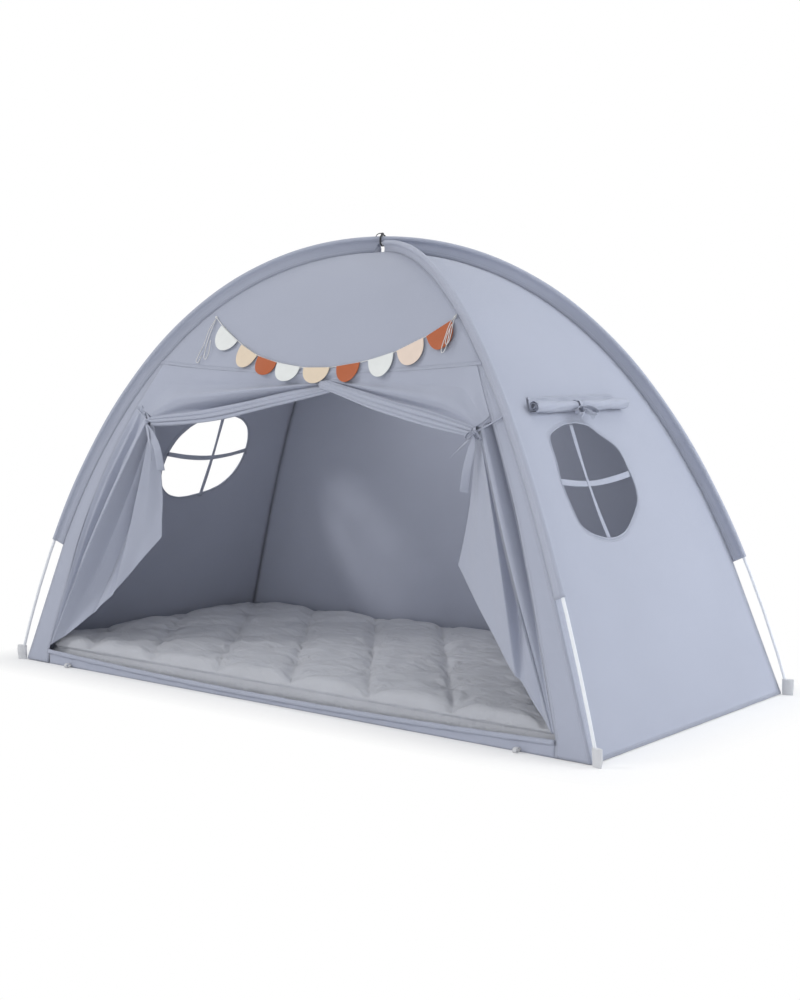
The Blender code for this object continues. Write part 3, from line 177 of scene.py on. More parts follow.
class Arch:
    """A quarter of the poles' common line, from foot to crown, and the wall seam that hangs under it."""

    def __init__(self):
        t = np.linspace(0, 1, 1601)
        self.t = t
        self.line = self.place(t, CROWN)
        self.arc = np.concatenate([[0], np.cumsum(np.linalg.norm(np.diff(self.line, axis=0), axis=1))])
        self.length = float(self.arc[-1])
        tangent = unit(np.gradient(self.line, axis=0))
        up = np.array([0.0, 0.0, 1.0])
        self.normal = unit(up - (tangent @ up)[:, None] * tangent)
        self.sleeve_end = float(np.interp(SLEEVE_END_HEIGHT, self.line[:, 2], self.arc))
        seam = self.line - self.normal * SLEEVE_STANDOFF
        out = unit((self.line[0] - self.line[20]) * np.array([1, 1, 0]))
        foot = self.line[0] - out * SEAM_SETBACK
        foot[2] = HEM_HEIGHT
        place = int(np.searchsorted(self.arc, self.sleeve_end))
        share = (self.arc / self.arc[place])[:, None]
        self.seam = np.where(share < 1, foot + (seam[place] - foot) * np.clip(share, 0, 1), seam)
        self.slope = np.gradient(self.seam, self.arc, axis=0)

    def place(self, t, crown):
        t = np.asarray(t, float)
        w = ((1 - t) ** 3, 3 * t * (1 - t) ** 2, 3 * t * t * (1 - t), t ** 3)
        x = w[0] + w[1] * (1 - FOOT_SETBACK) + w[2] * CROWN_SHARE
        z = w[1] * FOOT_RISE + w[2] + w[3]
        y = x * (1 + PLAN_BULGE * (1 - x * x))
        return np.stack([x * WIDTH / 2, y * DEPTH / 2, POLE_FOOT + z * (crown - POLE_FOOT)], -1)

    def at(self, table, arc):
        return np.stack([np.interp(arc, self.arc, table[:, axis]) for axis in range(3)], -1)

    def arc_of(self, height):
        return np.interp(height, self.seam[:, 2], self.arc)


ARCH = Arch()


def seam_x(height):
    return float(np.interp(height, ARCH.seam[:, 2], ARCH.seam[:, 0]))


def on_wall(kind, across, arc, out=0.0):
    """Points of a wall's plain surface, moved out by a distance. across runs along the wall's level lines."""
    across, arc, out = np.broadcast_arrays(*(np.asarray(values, float) for values in (across, arc, out)))
    seam, slope = ARCH.at(ARCH.seam, arc), ARCH.at(ARCH.slope, arc)
    axis = 1 if kind in ("front", "back") else 0
    normal = unit(np.stack([slope[..., 2], -slope[..., axis]], -1))
    reach = seam[..., axis] + normal[..., 0] * out
    rise = seam[..., 2] + normal[..., 1] * out
    side = -1 if kind in ("front", "left") else 1
    if axis:
        return np.stack([across, side * reach, rise], -1)
    return np.stack([side * reach, across, rise], -1)


def half_span(kind, arc):
    """Half the length of a wall's level line."""
    return np.interp(arc, ARCH.arc, ARCH.seam[:, 0 if kind in ("front", "back") else 1])


def relief(kind, across, arc):
    """How far a wall's cloth stands out from its plain surface: soft waves, and small gathers by its seams."""
    seed = {"front": 3, "back": 5, "left": 7, "right": 11}[kind]
    gap = half_span(kind, arc) - np.abs(across)
    inner = ease(gap / 0.06) * ease(np.asarray(arc) / 0.05)
    tall = sizes().relief
    broad, fine = ripples(across, np.asarray(arc) * 0.7, 0.36, seed), ripples(across, arc, 0.13, seed + 1)
    soft = tall * (0.75 * broad + 0.3 * fine)
    lean = across * 0.35 + arc
    gathers = sizes().pucker * np.exp(-np.maximum(gap, 0) / 0.022)
    gathers = gathers * np.sin(lean * 2 * math.pi / 0.036 + 2 * ripples(across, arc, 0.2, seed + 2))
    hem = sizes().pucker * np.exp(-np.asarray(arc) / 0.02)
    hem = hem * np.sin(across * 2 * math.pi / 0.048 + 2 * ripples(across, arc, 0.2, seed + 3))
    return soft * inner + (gathers + hem) * ease(gap / 0.006)


def wall_point(kind, across, arc, out=0.0):
    return on_wall(kind, across, arc, relief(kind, across, arc) + out)


def front_point(x, height, out=0.0):
    return on_wall("front", x, ARCH.arc_of(height), out)


def link(piece):
    bpy.context.scene.collection.objects.link(piece)
    return piece


def deselect():
    if bpy.context.mode != "OBJECT":
        bpy.ops.object.mode_set(mode="OBJECT")
    bpy.ops.object.select_all(action="DESELECT")


def pick(piece):
    deselect()
    piece.select_set(True)
    bpy.context.view_layer.objects.active = piece
    return piece


def shade_smooth(piece):
    piece.data.polygons.foreach_set("use_smooth", [True] * len(piece.data.polygons))
    return piece


def cad_box(name):
    """The lowest and highest corners of a CAD node."""
    return [np.array(corner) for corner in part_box(name)]


def mesh_piece(name, points, faces, uv, gap=None, run=None):
    """A mesh object at the origin, with a UV map in metres and, for sewn cloth, its distance to the sewn edge."""
    mesh = bpy.data.meshes.new(name)
    points = np.asarray(points, float).reshape(-1, 3)
    mesh.from_pydata(points.tolist(), [], [list(map(int, face)) for face in faces])
    mesh.validate()
    uv = np.asarray(uv, float).reshape(-1, 2)
    layer = mesh.uv_layers.new(name="UVMap")
    loops = np.empty(len(mesh.loops), np.int32)
    mesh.loops.foreach_get("vertex_index", loops)
    layer.data.foreach_set("uv", uv[loops].astype(np.float32).ravel())
    for title, values in (("edge_gap", gap), ("edge_run", run)):
        if values is not None:
            data = mesh.attributes.new(title, "FLOAT", "POINT")
            data.data.foreach_set("value", np.asarray(values, np.float32).ravel())
    mesh.update()
    return shade_smooth(link(bpy.data.objects.new(name, mesh)))


def grid_faces(rows, columns, ring=False, start=0, flip=False):
    faces = []
    wide = columns if ring else columns - 1
    for row in range(rows - 1):
        for column in range(wide):
            following = (column + 1) % columns
            a, b = start + row * columns + column, start + row * columns + following
            face = (a, b, b + columns, a + columns)
            faces.append(face[::-1] if flip else face)
    return faces


def grid_piece(name, points, uv, ring=False, flip=False, gap=None, run=None):
    rows, columns = points.shape[:2]
    return mesh_piece(name, points, grid_faces(rows, columns, ring, flip=flip), uv, gap=gap, run=run)


def apply_all(piece):
    pick(piece)
    for modifier in list(piece.modifiers):
        bpy.ops.object.modifier_apply(modifier=modifier.name)
    return piece


def weld(piece, distance=0.00002, outwards=True):
    operations = [(bpy.ops.mesh.remove_doubles, {"threshold": distance})]
    if outwards:
        operations.append((bpy.ops.mesh.normals_make_consistent, {"inside": False}))
    return edit_mesh(piece, *operations)


def thicken(piece, thickness, offset=-1.0):
    modifier = piece.modifiers.new("Cloth", "SOLIDIFY")
    modifier.thickness = thickness
    modifier.offset = offset
    modifier.use_even_offset = True
    return apply_all(piece)


def bevel_edges(piece, width, degrees):
    bevel = piece.modifiers.new("Edge", "BEVEL")
    bevel.width, bevel.segments, bevel.angle_limit = width, 2, math.radians(degrees)


def edit_mesh(piece, *operations):
    """Runs mesh operations on all of a piece in edit mode."""
    pick(piece)
    bpy.ops.object.mode_set(mode="EDIT")
    bpy.ops.mesh.select_all(action="SELECT")
    for operation, settings in operations:
        operation(**settings)
    bpy.ops.object.mode_set(mode="OBJECT")
    return piece


def end_caps(count, sides):
    """The two end faces of a closed form of rings."""
    return [tuple(range(sides))[::-1], tuple(range((count - 1) * sides, count * sides))]


def cut_area(piece):
    """The area of the cloth that a thin piece is cut from: one of its two faces."""
    return sum(face.area for face in piece.data.polygons) / 2


def join(pieces, name):
    deselect()
    for piece in pieces:
        piece.select_set(True)
    bpy.context.view_layer.objects.active = pieces[0]
    bpy.ops.object.join()
    pieces[0].name = pieces[0].data.name = name
    return pieces[0]


def mirror_points(points, side):
    return np.asarray(points, float) * np.array([side, 1, 1])


def lengths_along(points):
    return np.concatenate([[0], np.cumsum(np.linalg.norm(np.diff(np.asarray(points, float), axis=0), axis=1))])


def smooth_line(points, count):
    """A smooth curve through a few points, as evenly spaced points."""
    points = np.asarray(points, float)
    padded = np.vstack([2 * points[0] - points[1], points, 2 * points[-1] - points[-2]])
    fine = []
    for a, b, c, d in zip(padded, padded[1:], padded[2:], padded[3:]):
        for t in np.linspace(0, 1, 24, endpoint=False):
            bend, twist = 2 * a - 5 * b + 4 * c - d, 3 * b - a - 3 * c + d
            fine.append(0.5 * (2 * b + (c - a) * t + bend * t * t + twist * t ** 3))
    fine.append(points[-1])
    fine = np.array(fine)
    run = lengths_along(fine)
    even = np.linspace(0, run[-1], count)
    return np.stack([np.interp(even, run, fine[:, axis]) for axis in range(3)], -1)


def tube(name, path, radius, sides=10, closed=False):
    """A round tube along a line of points. Its UV map runs in metres."""
    path = np.asarray(path, float)
    count = len(path)
    tangent = unit(np.roll(path, -1, 0) - np.roll(path, 1, 0)) if closed else unit(np.gradient(path, axis=0))
    wide = np.array([0.0, 0.0, 1.0])
    if abs(tangent[0] @ wide) > 0.9:
        wide = np.array([1.0, 0.0, 0.0])
    radius = np.broadcast_to(radius, (count,))
    angles = np.linspace(0, 2 * math.pi, sides, endpoint=False)
    points = np.empty((count, sides, 3))
    for place in range(count):
        wide = unit(wide - (wide @ tangent[place]) * tangent[place])
        over = np.cross(tangent[place], wide)
        ring = np.cos(angles)[:, None] * wide + np.sin(angles)[:, None] * over
        points[place] = path[place] + radius[place] * ring
    uv = np.empty((count, sides, 2))
    uv[..., 0] = lengths_along(path)[:, None]
    uv[..., 1] = (angles * float(np.mean(radius)))[None]
    if closed:
        last = (count - 1) * sides
        turned = [(column + 1) % sides for column in range(sides)]
        ends = [(last + column, last + after, after, column) for column, after in enumerate(turned)]
    else:
        ends = end_caps(count, sides)
    return weld(mesh_piece(name, points, grid_faces(count, sides, ring=True) + ends, uv))


# ---------------------------------------------------------------- materials


class Value:
    """A node's output socket, on which ordinary arithmetic adds Math nodes."""

    def __init__(self, finish, socket):
        self.finish, self.socket = finish, socket

    def maths(self, operation, *others):
        return self.finish.node("ShaderNodeMath", {"operation": operation}, self, *others)

    def __add__(self, other): return self.maths("ADD", other)
    def __radd__(self, other): return self.maths("ADD", other)
    def __sub__(self, other): return self.maths("SUBTRACT", other)
    def __rsub__(self, other): return self.finish.node("ShaderNodeMath", {"operation": "SUBTRACT"}, other, self)
    def __mul__(self, other): return self.maths("MULTIPLY", other)
    def __truediv__(self, other): return self.maths("DIVIDE", other)
    def __abs__(self): return self.maths("ABSOLUTE")
    def less(self, other): return self.maths("LESS_THAN", other)
    def more(self, other): return self.maths("GREATER_THAN", other)
    def clamp(self): return self.finish.node("ShaderNodeClamp", {}, self, 0.0, 1.0)


class Finish:
    """Builds one material."""

    def __init__(self, name, tint, **plain):
        self.material = bpy.data.materials.new(name)
        self.material.use_nodes = True
        self.tree = self.material.node_tree
        self.shader = self.tree.nodes["Principled BSDF"]
        self.shader.inputs["Base Color"].default_value = (*tint, 1)
        self.tint = tuple(tint)
        for title, value in plain.items():
            self.shader.inputs[title.replace("_", " ")].default_value = value

    def node(self, kind, settings, *values, output=0, **named):
        made = self.tree.nodes.new(kind)
        for title, value in settings.items():
            setattr(made, title, value)
        titled = [(title.replace("_", " "), value) for title, value in named.items()]
        for place, value in [*enumerate(values), *titled]:
            if value is None:
                continue
            socket = made.inputs[place]
            if isinstance(value, Value):
                self.tree.links.new(value.socket, socket)
            else:
                socket.default_value = value
        return Value(self, made.outputs[output])

    def feed(self, title, value):
        self.tree.links.new(value.socket, self.shader.inputs[title])

    def mix(self, factor, one, other):
        """A mix of two colours."""
        skipped = [None] * 5
        return self.node("ShaderNodeMix", {"data_type": "RGBA"}, factor, *skipped, one, other, output=2)

    def place(self):
        return self.node("ShaderNodeTexCoord", {}, output=3)

    def uv(self):
        return self.node("ShaderNodeUVMap", {"uv_map": "UVMap"})

    def parts(self, vector):
        made = self.tree.nodes.new("ShaderNodeSeparateXYZ")
        self.tree.links.new(vector.socket, made.inputs[0])
        return [Value(self, made.outputs[count]) for count in range(3)]

    def stretched(self, vector, scale, turn=None):
        """A texture place, stretched by a scale along each axis and turned."""
        return self.node("ShaderNodeMapping", {}, vector, None, turn, scale)

    def noise(self, vector, scale, detail=3.0, roughness=0.5):
        return self.node("ShaderNodeTexNoise", {}, vector, None, scale, detail, roughness)

    def finished(self, shade, roughness, height, distance):
        """The material, with its colour, roughness and relief fed."""
        self.feed("Base Color", shade)
        self.feed("Roughness", roughness.clamp())
        self.feed("Normal", self.node("ShaderNodeBump", {}, Strength=1.0, Distance=distance, Height=height))
        return self.material

    def scaled(self, factor, more=0.0):
        return tuple(min(1.0, part * factor + more) for part in self.tint) + (1,)

    def shades(self, amount, low, high):
        """The tint, varied between two brightnesses by a 0 to 1 value."""
        return self.mix(amount, self.scaled(low), self.scaled(high))


def weave(finish, coordinate, thread):
    """A plain weave from two crossed waves, 0 to 1."""
    u, v, _ = finish.parts(coordinate)
    turn = math.pi / thread
    warp, weft = (u * turn).maths("SINE"), (v * turn).maths("SINE")
    checks = (warp * weft).more(0.0)
    over, under = abs((u * turn).maths("COSINE")), abs((v * turn).maths("COSINE"))
    return over * checks + under * (1.0 - checks)


# Where the two lines of stitches run from a sewn edge, half a stitch's width, and half the width of their furrow
STITCH_LINES, STITCH_HALF, FURROW = (0.0045, 0.0095), 0.0005, 0.0022


def cloth_finish(name, tint, stitched=True, sheen=0.25, rough=0.82):
    """Woven cloth: threads, slubs, faint soiling, soft creases and, along its sewn edges, two lines of stitches, with
    painted shade darkening the sewn edge and the stitches' furrows.
    """
    finish = Finish(name, tint, Roughness=rough, Sheen_Weight=sheen, Sheen_Roughness=0.45, Specular_IOR_Level=0.25)
    uv, place = finish.uv(), finish.place()
    threads = weave(finish, uv, sizes().thread)
    slubs = finish.noise(finish.stretched(uv, (1.0, 14.0, 1.0)), 60.0, 2.0)
    cloud = finish.noise(place, 2.3, 4.0, 0.55)
    shade = finish.shades((cloud * 0.9 + slubs * 0.25 + threads * 0.12 - 0.15).clamp(), 0.91, 1.07)
    height = threads * 0.35 + slubs * 0.25 + finish.noise(place, 28.0, 4.0, 0.6) * 0.9
    if stitched:
        gap, run = (finish.node("ShaderNodeAttribute", {"attribute_name": title}, output=2)
                    for title in ("edge_gap", "edge_run"))
        first, second = (abs(gap - line) for line in STITCH_LINES)
        dash = (run / sizes().stitch).maths("FRACT").less(0.68)
        stitches = ((first.less(STITCH_HALF) + second.less(STITCH_HALF)) * dash).clamp()
        furrow = (1.0 - first / FURROW).clamp() + (1.0 - second / FURROW).clamp()
        edge = (1.0 - abs(gap - 0.0) / 0.0025).clamp()
        # Painted shade: the colour darkens at the sewn edge and in the stitches' furrows.
        shade = finish.mix(edge * 0.18 + furrow * 0.10, shade, finish.scaled(0.72))
        shade = finish.mix(stitches, shade, finish.scaled(1.18, 0.02))
        height = height - furrow * 1.1 + stitches * 1.3
    return finish.finished(shade, (rough - 0.06) + cloud * 0.12, height, 0.0006)


def webbing_finish(name, tint):
    """Woven tape: ribs across its length, a twill lean, fine strands and a soft mottle."""
    finish = Finish(name, tint, Roughness=0.8, Sheen_Weight=0.2, Specular_IOR_Level=0.25)
    u, v, _ = finish.parts(finish.uv())
    ribs = abs(((u + v * 0.6) * (math.pi / 0.0014)).maths("SINE"))
    strands = abs((v * (math.pi / 0.0011)).maths("SINE"))
    cloud = finish.noise(finish.place(), 18.0, 3.0)
    shade = finish.shades((ribs * 0.35 + strands * 0.2 + cloud * 0.5).clamp(), 0.86, 1.06)
    return finish.finished(shade, 0.72 + cloud * 0.16, ribs * 0.7 + strands * 0.5 + cloud * 0.4, 0.0005)


def felt_finish(name, tint):
    """Pressed felt: short fibres in every direction and a soft mottle."""
    finish = Finish(name, tint, Roughness=0.93, Sheen_Weight=0.35, Sheen_Roughness=0.6, Specular_IOR_Level=0.12)
    place = finish.place()
    fibres = finish.noise(place, 900.0, 4.0, 0.75)
    tangle = finish.noise(finish.stretched(place, (1.0, 1.0, 4.0), (0.3, 0.2, 0.6)), 260.0, 3.0, 0.7)
    mottle = finish.noise(place, 45.0, 3.0)
    shade = finish.shades((fibres * 0.5 + mottle * 0.5).clamp(), 0.90, 1.08)
    return finish.finished(shade, 0.86 + mottle * 0.12, fibres + tangle * 0.8, 0.0005)


def mat_finish(name, tint):
    """The mat's brushed cotton cover: fine weave, a soft mottle and fine creases, whose colour is lighter on their
    ridges and darker in their hollows.
    """
    finish = Finish(name, tint, Roughness=0.72, Sheen_Weight=0.35, Sheen_Roughness=0.35, Specular_IOR_Level=0.3)
    uv, place = finish.uv(), finish.place()
    threads = weave(finish, uv, sizes().thread)
    cloud = finish.noise(place, 6.0, 4.0, 0.6)
    creases = finish.noise(finish.stretched(place, (1.0, 2.6, 1.0), (0.0, 0.0, 0.7)), 22.0, 5.0, 0.62)
    shade = finish.shades((cloud * 0.7 + threads * 0.12 + creases * 0.35 - 0.1).clamp(), 0.88, 1.10)
    return finish.finished(shade, 0.58 + cloud * 0.22, threads * 0.10 + creases * 2.2 + cloud * 0.6, 0.0060)


def cord_finish(name, tint):
    """Twisted cord: strands that wind round it."""
    finish = Finish(name, tint, Roughness=0.78, Sheen_Weight=0.25, Specular_IOR_Level=0.25)
    u, v, _ = finish.parts(finish.uv())
    strands = abs(((u + v * 0.9) * (math.pi / 0.0022)).maths("SINE"))
    fuzz = finish.noise(finish.place(), 420.0, 3.0, 0.7)
    shade = finish.shades((strands * 0.6 + fuzz * 0.4).clamp(), 0.80, 1.06)
    return finish.finished(shade, 0.70 + fuzz * 0.2, strands + fuzz * 0.4, 0.0004)


def pole_finish(name, tint):
    """Gel-coated glass-fibre tube: a faint long grain, rub marks and a soft gloss."""
    finish = Finish(name, tint, Roughness=0.36, Specular_IOR_Level=0.5, Coat_Weight=0.15, Coat_Roughness=0.3)
    place = finish.place()
    grain = finish.noise(finish.stretched(place, (60.0, 60.0, 4.0)), 9.0, 3.0, 0.6)
    rubs = finish.noise(place, 38.0, 5.0, 0.7)
    shade = finish.shades((grain * 0.4 + rubs * 0.6).clamp(), 0.93, 1.03)
    return finish.finished(shade, 0.26 + rubs * 0.22, grain * 0.6 + rubs * 0.3, 0.0002)


def metal_finish(name, tint):
    """Drawn metal: fine rings across the sleeve and a few dull spots."""
    finish = Finish(name, tint, Roughness=0.3, Metallic=1.0)
    place = finish.place()
    rings = finish.noise(finish.stretched(place, (6.0, 6.0, 300.0)), 6.0, 2.0)
    spots = finish.noise(place, 60.0, 4.0)
    shade = finish.shades(spots, 0.85, 1.05)
    return finish.finished(shade, 0.2 + rings * 0.2 + spots * 0.12, rings, 0.0001)


FINISHES = {}


def finishes():
    """Every material of the tent, made once."""
    if not FINISHES:
        c = colours()
        FINISHES["cloth"] = cloth_finish("tent_cloth", c.cloth)
        FINISHES["plain_cloth"] = cloth_finish("curtain_cloth", c.cloth, stitched=False)
        FINISHES["lining"] = cloth_finish("floor_lining", c.lining, stitched=False, sheen=0.1, rough=0.7)
        FINISHES["webbing"] = webbing_finish("white_webbing", c.webbing)
        FINISHES["mat"] = mat_finish("mat_cover", c.mat)
        FINISHES["pole_white"] = pole_finish("pole_gloss", c.pole)
        FINISHES["ferrule_metal"] = metal_finish("ferrule_metal", c.metal)
        FINISHES["cord_white"] = cord_finish("white_cord", c.cord)
        FINISHES["tie_dark"] = cord_finish("dark_cord", c.tie)
        for title in ("white", "cream", "peach", "rust"):
            FINISHES[title] = felt_finish(title + "_felt", getattr(c, title))
    return FINISHES


def dress(piece, finish, body="tent", replaces=()):
    """Gives a piece its material, its body and the CAD nodes that it stands for."""
    piece.data.materials.clear()
    piece.data.materials.append(finishes()[finish])
    if body:
        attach(piece, body)
    if replaces:
        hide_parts(*replaces)
    return piece


# ---------------------------------------------------------------- camera, light and floor

# Each lamp's place, the point it lights, its size in metres, its watts and its colour
LAMPS = {
    "inside": ((0.0, 0.03, 0.93), (0.0, -0.06, 0.0), 0.22, 1.75, (1.0, 0.99, 0.98)),
    "key": ((-4.2, -4.2, 3.9), (0.0, 0.0, 0.5), 1.3, 150.0, (1.0, 0.985, 0.96)),
    "fill": ((1.7, -4.2, 1.2), (0.0, 0.0, 0.35), 2.6, 45.0, (1.0, 0.99, 0.98)),
    "side": ((3.8, 1.8, 2.2), (0.4, 0.0, 0.5), 2.8, 120.0, (0.95, 0.975, 1.0)),
    "top": ((0.4, 0.6, 4.6), (0.0, 0.0, 0.5), 3.0, 40.0, (1.0, 1.0, 1.0)),
}


def stand(piece, right, up, back, spot):
    """Places a camera or lamp by its three axes."""
    matrix = np.eye(4)
    matrix[:3, 0], matrix[:3, 1], matrix[:3, 2], matrix[:3, 3] = right, up, back, spot
    piece.matrix_world = matrix.T


def photo_camera(scene):
    yaw, pitch = math.radians(CAMERA_YAW), math.radians(CAMERA_PITCH)
    ahead = np.array([-math.sin(yaw) * math.cos(pitch), math.cos(yaw) * math.cos(pitch), math.sin(pitch)])
    right = np.array([math.cos(yaw), math.sin(yaw), 0.0])
    data = bpy.data.cameras.new("photo_camera")
    camera = link(bpy.data.objects.new("photo_camera", data))
    stand(camera, right, np.cross(right, ahead), -ahead, CAMERA_PLACE)
    data.sensor_fit, data.sensor_width, data.lens = "HORIZONTAL", SENSOR, CAMERA_FOCAL / PHOTO_WIDTH * SENSOR
    data.shift_x = -(CAMERA_CENTRE[0] - PHOTO_WIDTH / 2) / PHOTO_WIDTH
    data.shift_y = (CAMERA_CENTRE[1] - PHOTO_HEIGHT / 2) / PHOTO_WIDTH
    data.clip_start, data.clip_end = 0.05, 100
    scene.camera = camera


def studio_world(scene):
    """Soft bluish light from all round, which is plain white to the camera, in gloss and through clear things."""
    world = bpy.data.worlds.new("studio")
    scene.world = world
    world.use_nodes = True
    tree = world.node_tree
    shown, seen = tree.nodes["Background"], tree.nodes.new("ShaderNodeBackground")
    paths, mix = tree.nodes.new("ShaderNodeLightPath"), tree.nodes.new("ShaderNodeMixShader")
    shown.inputs["Color"].default_value = (0.93, 0.96, 1.0, 1)
    shown.inputs["Strength"].default_value = 0.44
    seen.inputs["Color"].default_value = (1, 1, 1, 1)
    first, second = (tree.nodes.new("ShaderNodeMath") for _ in range(2))
    first.operation = second.operation = "MAXIMUM"
    for source, target in (
        (paths.outputs["Is Camera Ray"], first.inputs[0]),
        (paths.outputs["Is Glossy Ray"], first.inputs[1]),
        (first.outputs[0], second.inputs[0]),
        (paths.outputs["Is Transmission Ray"], second.inputs[1]),
        (second.outputs[0], mix.inputs[0]),
        (shown.outputs[0], mix.inputs[1]),
        (seen.outputs[0], mix.inputs[2]),
        (mix.outputs[0], tree.nodes["World Output"].inputs["Surface"]),
    ):
        tree.links.new(source, target)


def studio_floor(context):
    """A white floor that glows to the camera from a little way off the tent, so that it ends nowhere."""
    deselect()
    bpy.ops.mesh.primitive_plane_add(size=40, location=(0, 0, 0))
    floor = context.active_object
    floor.name = "studio_floor"
    finish = Finish("studio_floor", (0.90, 0.90, 0.905), Roughness=0.9, Specular_IOR_Level=0.1)
    tree = finish.tree
    glow, blend = tree.nodes.new("ShaderNodeEmission"), tree.nodes.new("ShaderNodeMixShader")
    glow.inputs["Color"].default_value = (1, 1, 1, 1)
    x, y, _ = finish.parts(finish.place())
    beyond_x, beyond_y = (abs(x) - 1.0).maths("MAXIMUM", 0.0), (abs(y) - 0.47).maths("MAXIMUM", 0.0)
    away = (beyond_x * beyond_x + beyond_y * beyond_y).maths("SQRT")
    seen = Value(finish, tree.nodes.new("ShaderNodeLightPath").outputs["Is Camera Ray"])
    share = (away / 0.22 + 0.25).clamp() * seen
    tree.links.new(share.socket, blend.inputs[0])
    tree.links.new(finish.shader.outputs[0], blend.inputs[1])
    tree.links.new(glow.outputs[0], blend.inputs[2])
    tree.links.new(blend.outputs[0], tree.nodes["Material Output"].inputs["Surface"])
    floor.data.materials.append(finish.material)


class PLAYTENT_OT_stage(bpy.types.Operator):
    """Camera at the photograph's angle, soft studio light and a plain white floor"""

    bl_idname = "play_tent.stage"
    bl_label = "Stage"

    def execute(self, context):
        scene = context.scene
        photo_camera(scene)
        studio_world(scene)
        for name, (spot, aim, size, power, tint) in LAMPS.items():
            lamp = bpy.data.lights.new(name + "_light", "AREA")
            lamp.shape, lamp.size, lamp.energy, lamp.color = "SQUARE", size, power, tint
            holder = link(bpy.data.objects.new(name + "_light", lamp))
            holder.visible_camera = False
            back = unit(np.array(spot) - np.array(aim))
            level = unit(np.cross((0, 0, 1), back))
            stand(holder, level, np.cross(back, level), back, spot)
        studio_floor(context)
        scene.view_settings.view_transform = "Standard"
        return {"FINISHED"}


# ---------------------------------------------------------------- frame


class PLAYTENT_OT_poles(bpy.types.Operator):
    """Finishes of the pole sections, their ferrules and the elastic cord"""

    bl_idname = "play_tent.poles"
    bl_label = "Poles"

    def execute(self, context):
        for name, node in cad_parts.items():
            for part, finish in (("section", "pole_white"), ("ferrule", "ferrule_metal"), ("shock_cord", "cord_white")):
                if part in name:
                    node.data.materials.clear()
                    node.data.materials.append(finishes()[finish])
        return {"FINISHED"}


def pole_line(side, rise, start, end, step=0.012):
    """Points along a pole from one place to another, with the seam's points under them.

    side is -1 for the front-left pole.
    """
    total = 2 * ARCH.length
    arcs = np.linspace(start, end, int((end - start) / step) + 2)
    near = np.minimum(arcs, total - arcs)
    t = np.interp(near, ARCH.arc, ARCH.t)
    signs = np.where(arcs[:, None] <= ARCH.length, np.array([-1, side, 1]), np.array([1, -side, 1]))
    return arcs, ARCH.place(t, CROWN + rise) * signs, ARCH.at(ARCH.seam, near) * signs


# Places up a sleeve's flat fin, half the fin's thickness, and its height where the poles cross
FIN_SHARES, FIN_HALF, FIN_CROSSING = (0.0, 0.25, 0.5, 0.75, 0.93), 0.0011, 0.0072


def sleeve(name, side, rise, start, end, seed, crossing=False):
    """A flat cloth channel sewn along a seam, with the pole in its outer edge."""
    arcs, centre, root = pole_line(side, rise, start, end)
    tangent = unit(np.gradient(centre, axis=0))
    out = unit(centre - root)
    across = unit(np.cross(tangent, out))
    fin = np.linalg.norm(centre - root, axis=1) + 0.0006
    if crossing:
        fin = FIN_CROSSING + (fin - FIN_CROSSING) * ease((np.abs(arcs - ARCH.length) - 0.010) / 0.006)
    bore = 0.0070 + 0.0003 * ripples(arcs, 0, 0.16, seed)
    lean = 0.0016 * ripples(arcs, 0, 0.22, seed + 1) + 0.0006 * ripples(arcs, 0, 0.06, seed + 2)
    angles = np.linspace(math.radians(152), math.radians(-152), 17)
    points, uv, gap = [], [], []
    for place in range(len(arcs)):
        inner = max(fin[place] - bore[place] - 0.001, 0.0001)

        def fin_side(sign, share):
            belly = math.sin(math.pi * share)
            return -fin[place] + inner * share, sign * (FIN_HALF + 0.0004 * belly) + lean[place] * belly

        row = [fin_side(1, share) for share in FIN_SHARES]
        row += [(bore[place] * math.cos(angle), bore[place] * math.sin(angle)) for angle in angles]
        row += [fin_side(-1, share) for share in FIN_SHARES[::-1]]
        flat = [inner * share for share in FIN_SHARES]
        flat += [inner + bore[place] * (angles[0] - angle) for angle in angles]
        flat += [flat[-1] + inner * (1 - share) for share in FIN_SHARES[::-1]]
        points.append([centre[place] + out[place] * o + across[place] * a for o, a in row])
        uv.append([(arcs[place], f) for f in flat])
        gap.append([max(o + fin[place], 0) if abs(a) < 0.004 or o < -0.006 else 0.03 for o, a in row])
    points = np.array(points)
    rows, columns = points.shape[:2]
    faces = grid_faces(rows, columns, ring=True) + end_caps(rows, columns)
    return weld(mesh_piece(name, points, faces, np.array(uv), gap=np.array(gap), run=np.repeat(arcs, columns)))


class PLAYTENT_OT_sleeves(bpy.types.Operator):
    """Cloth channels that hold the poles on the seams"""

    bl_idname = "play_tent.sleeves"
    bl_label = "Sleeves"

    def execute(self, context):
        end, total, clear = ARCH.sleeve_end, 2 * ARCH.length, 0.016
        for name, side, rise, start, stop, crossing in (
            ("sleeve_over", -1, CROSSING_RISE, end, total - end, True),
            ("sleeve_under_back_left", 1, -CROSSING_RISE, end, total / 2 - clear, False),
            ("sleeve_under_front_right", 1, -CROSSING_RISE, total / 2 + clear, total - end, False),
        ):
            piece = sleeve(name + "_cloth", side, rise, start, stop, len(name), crossing)
            dress(piece, "cloth", replaces=[name])
        return {"FINISHED"}


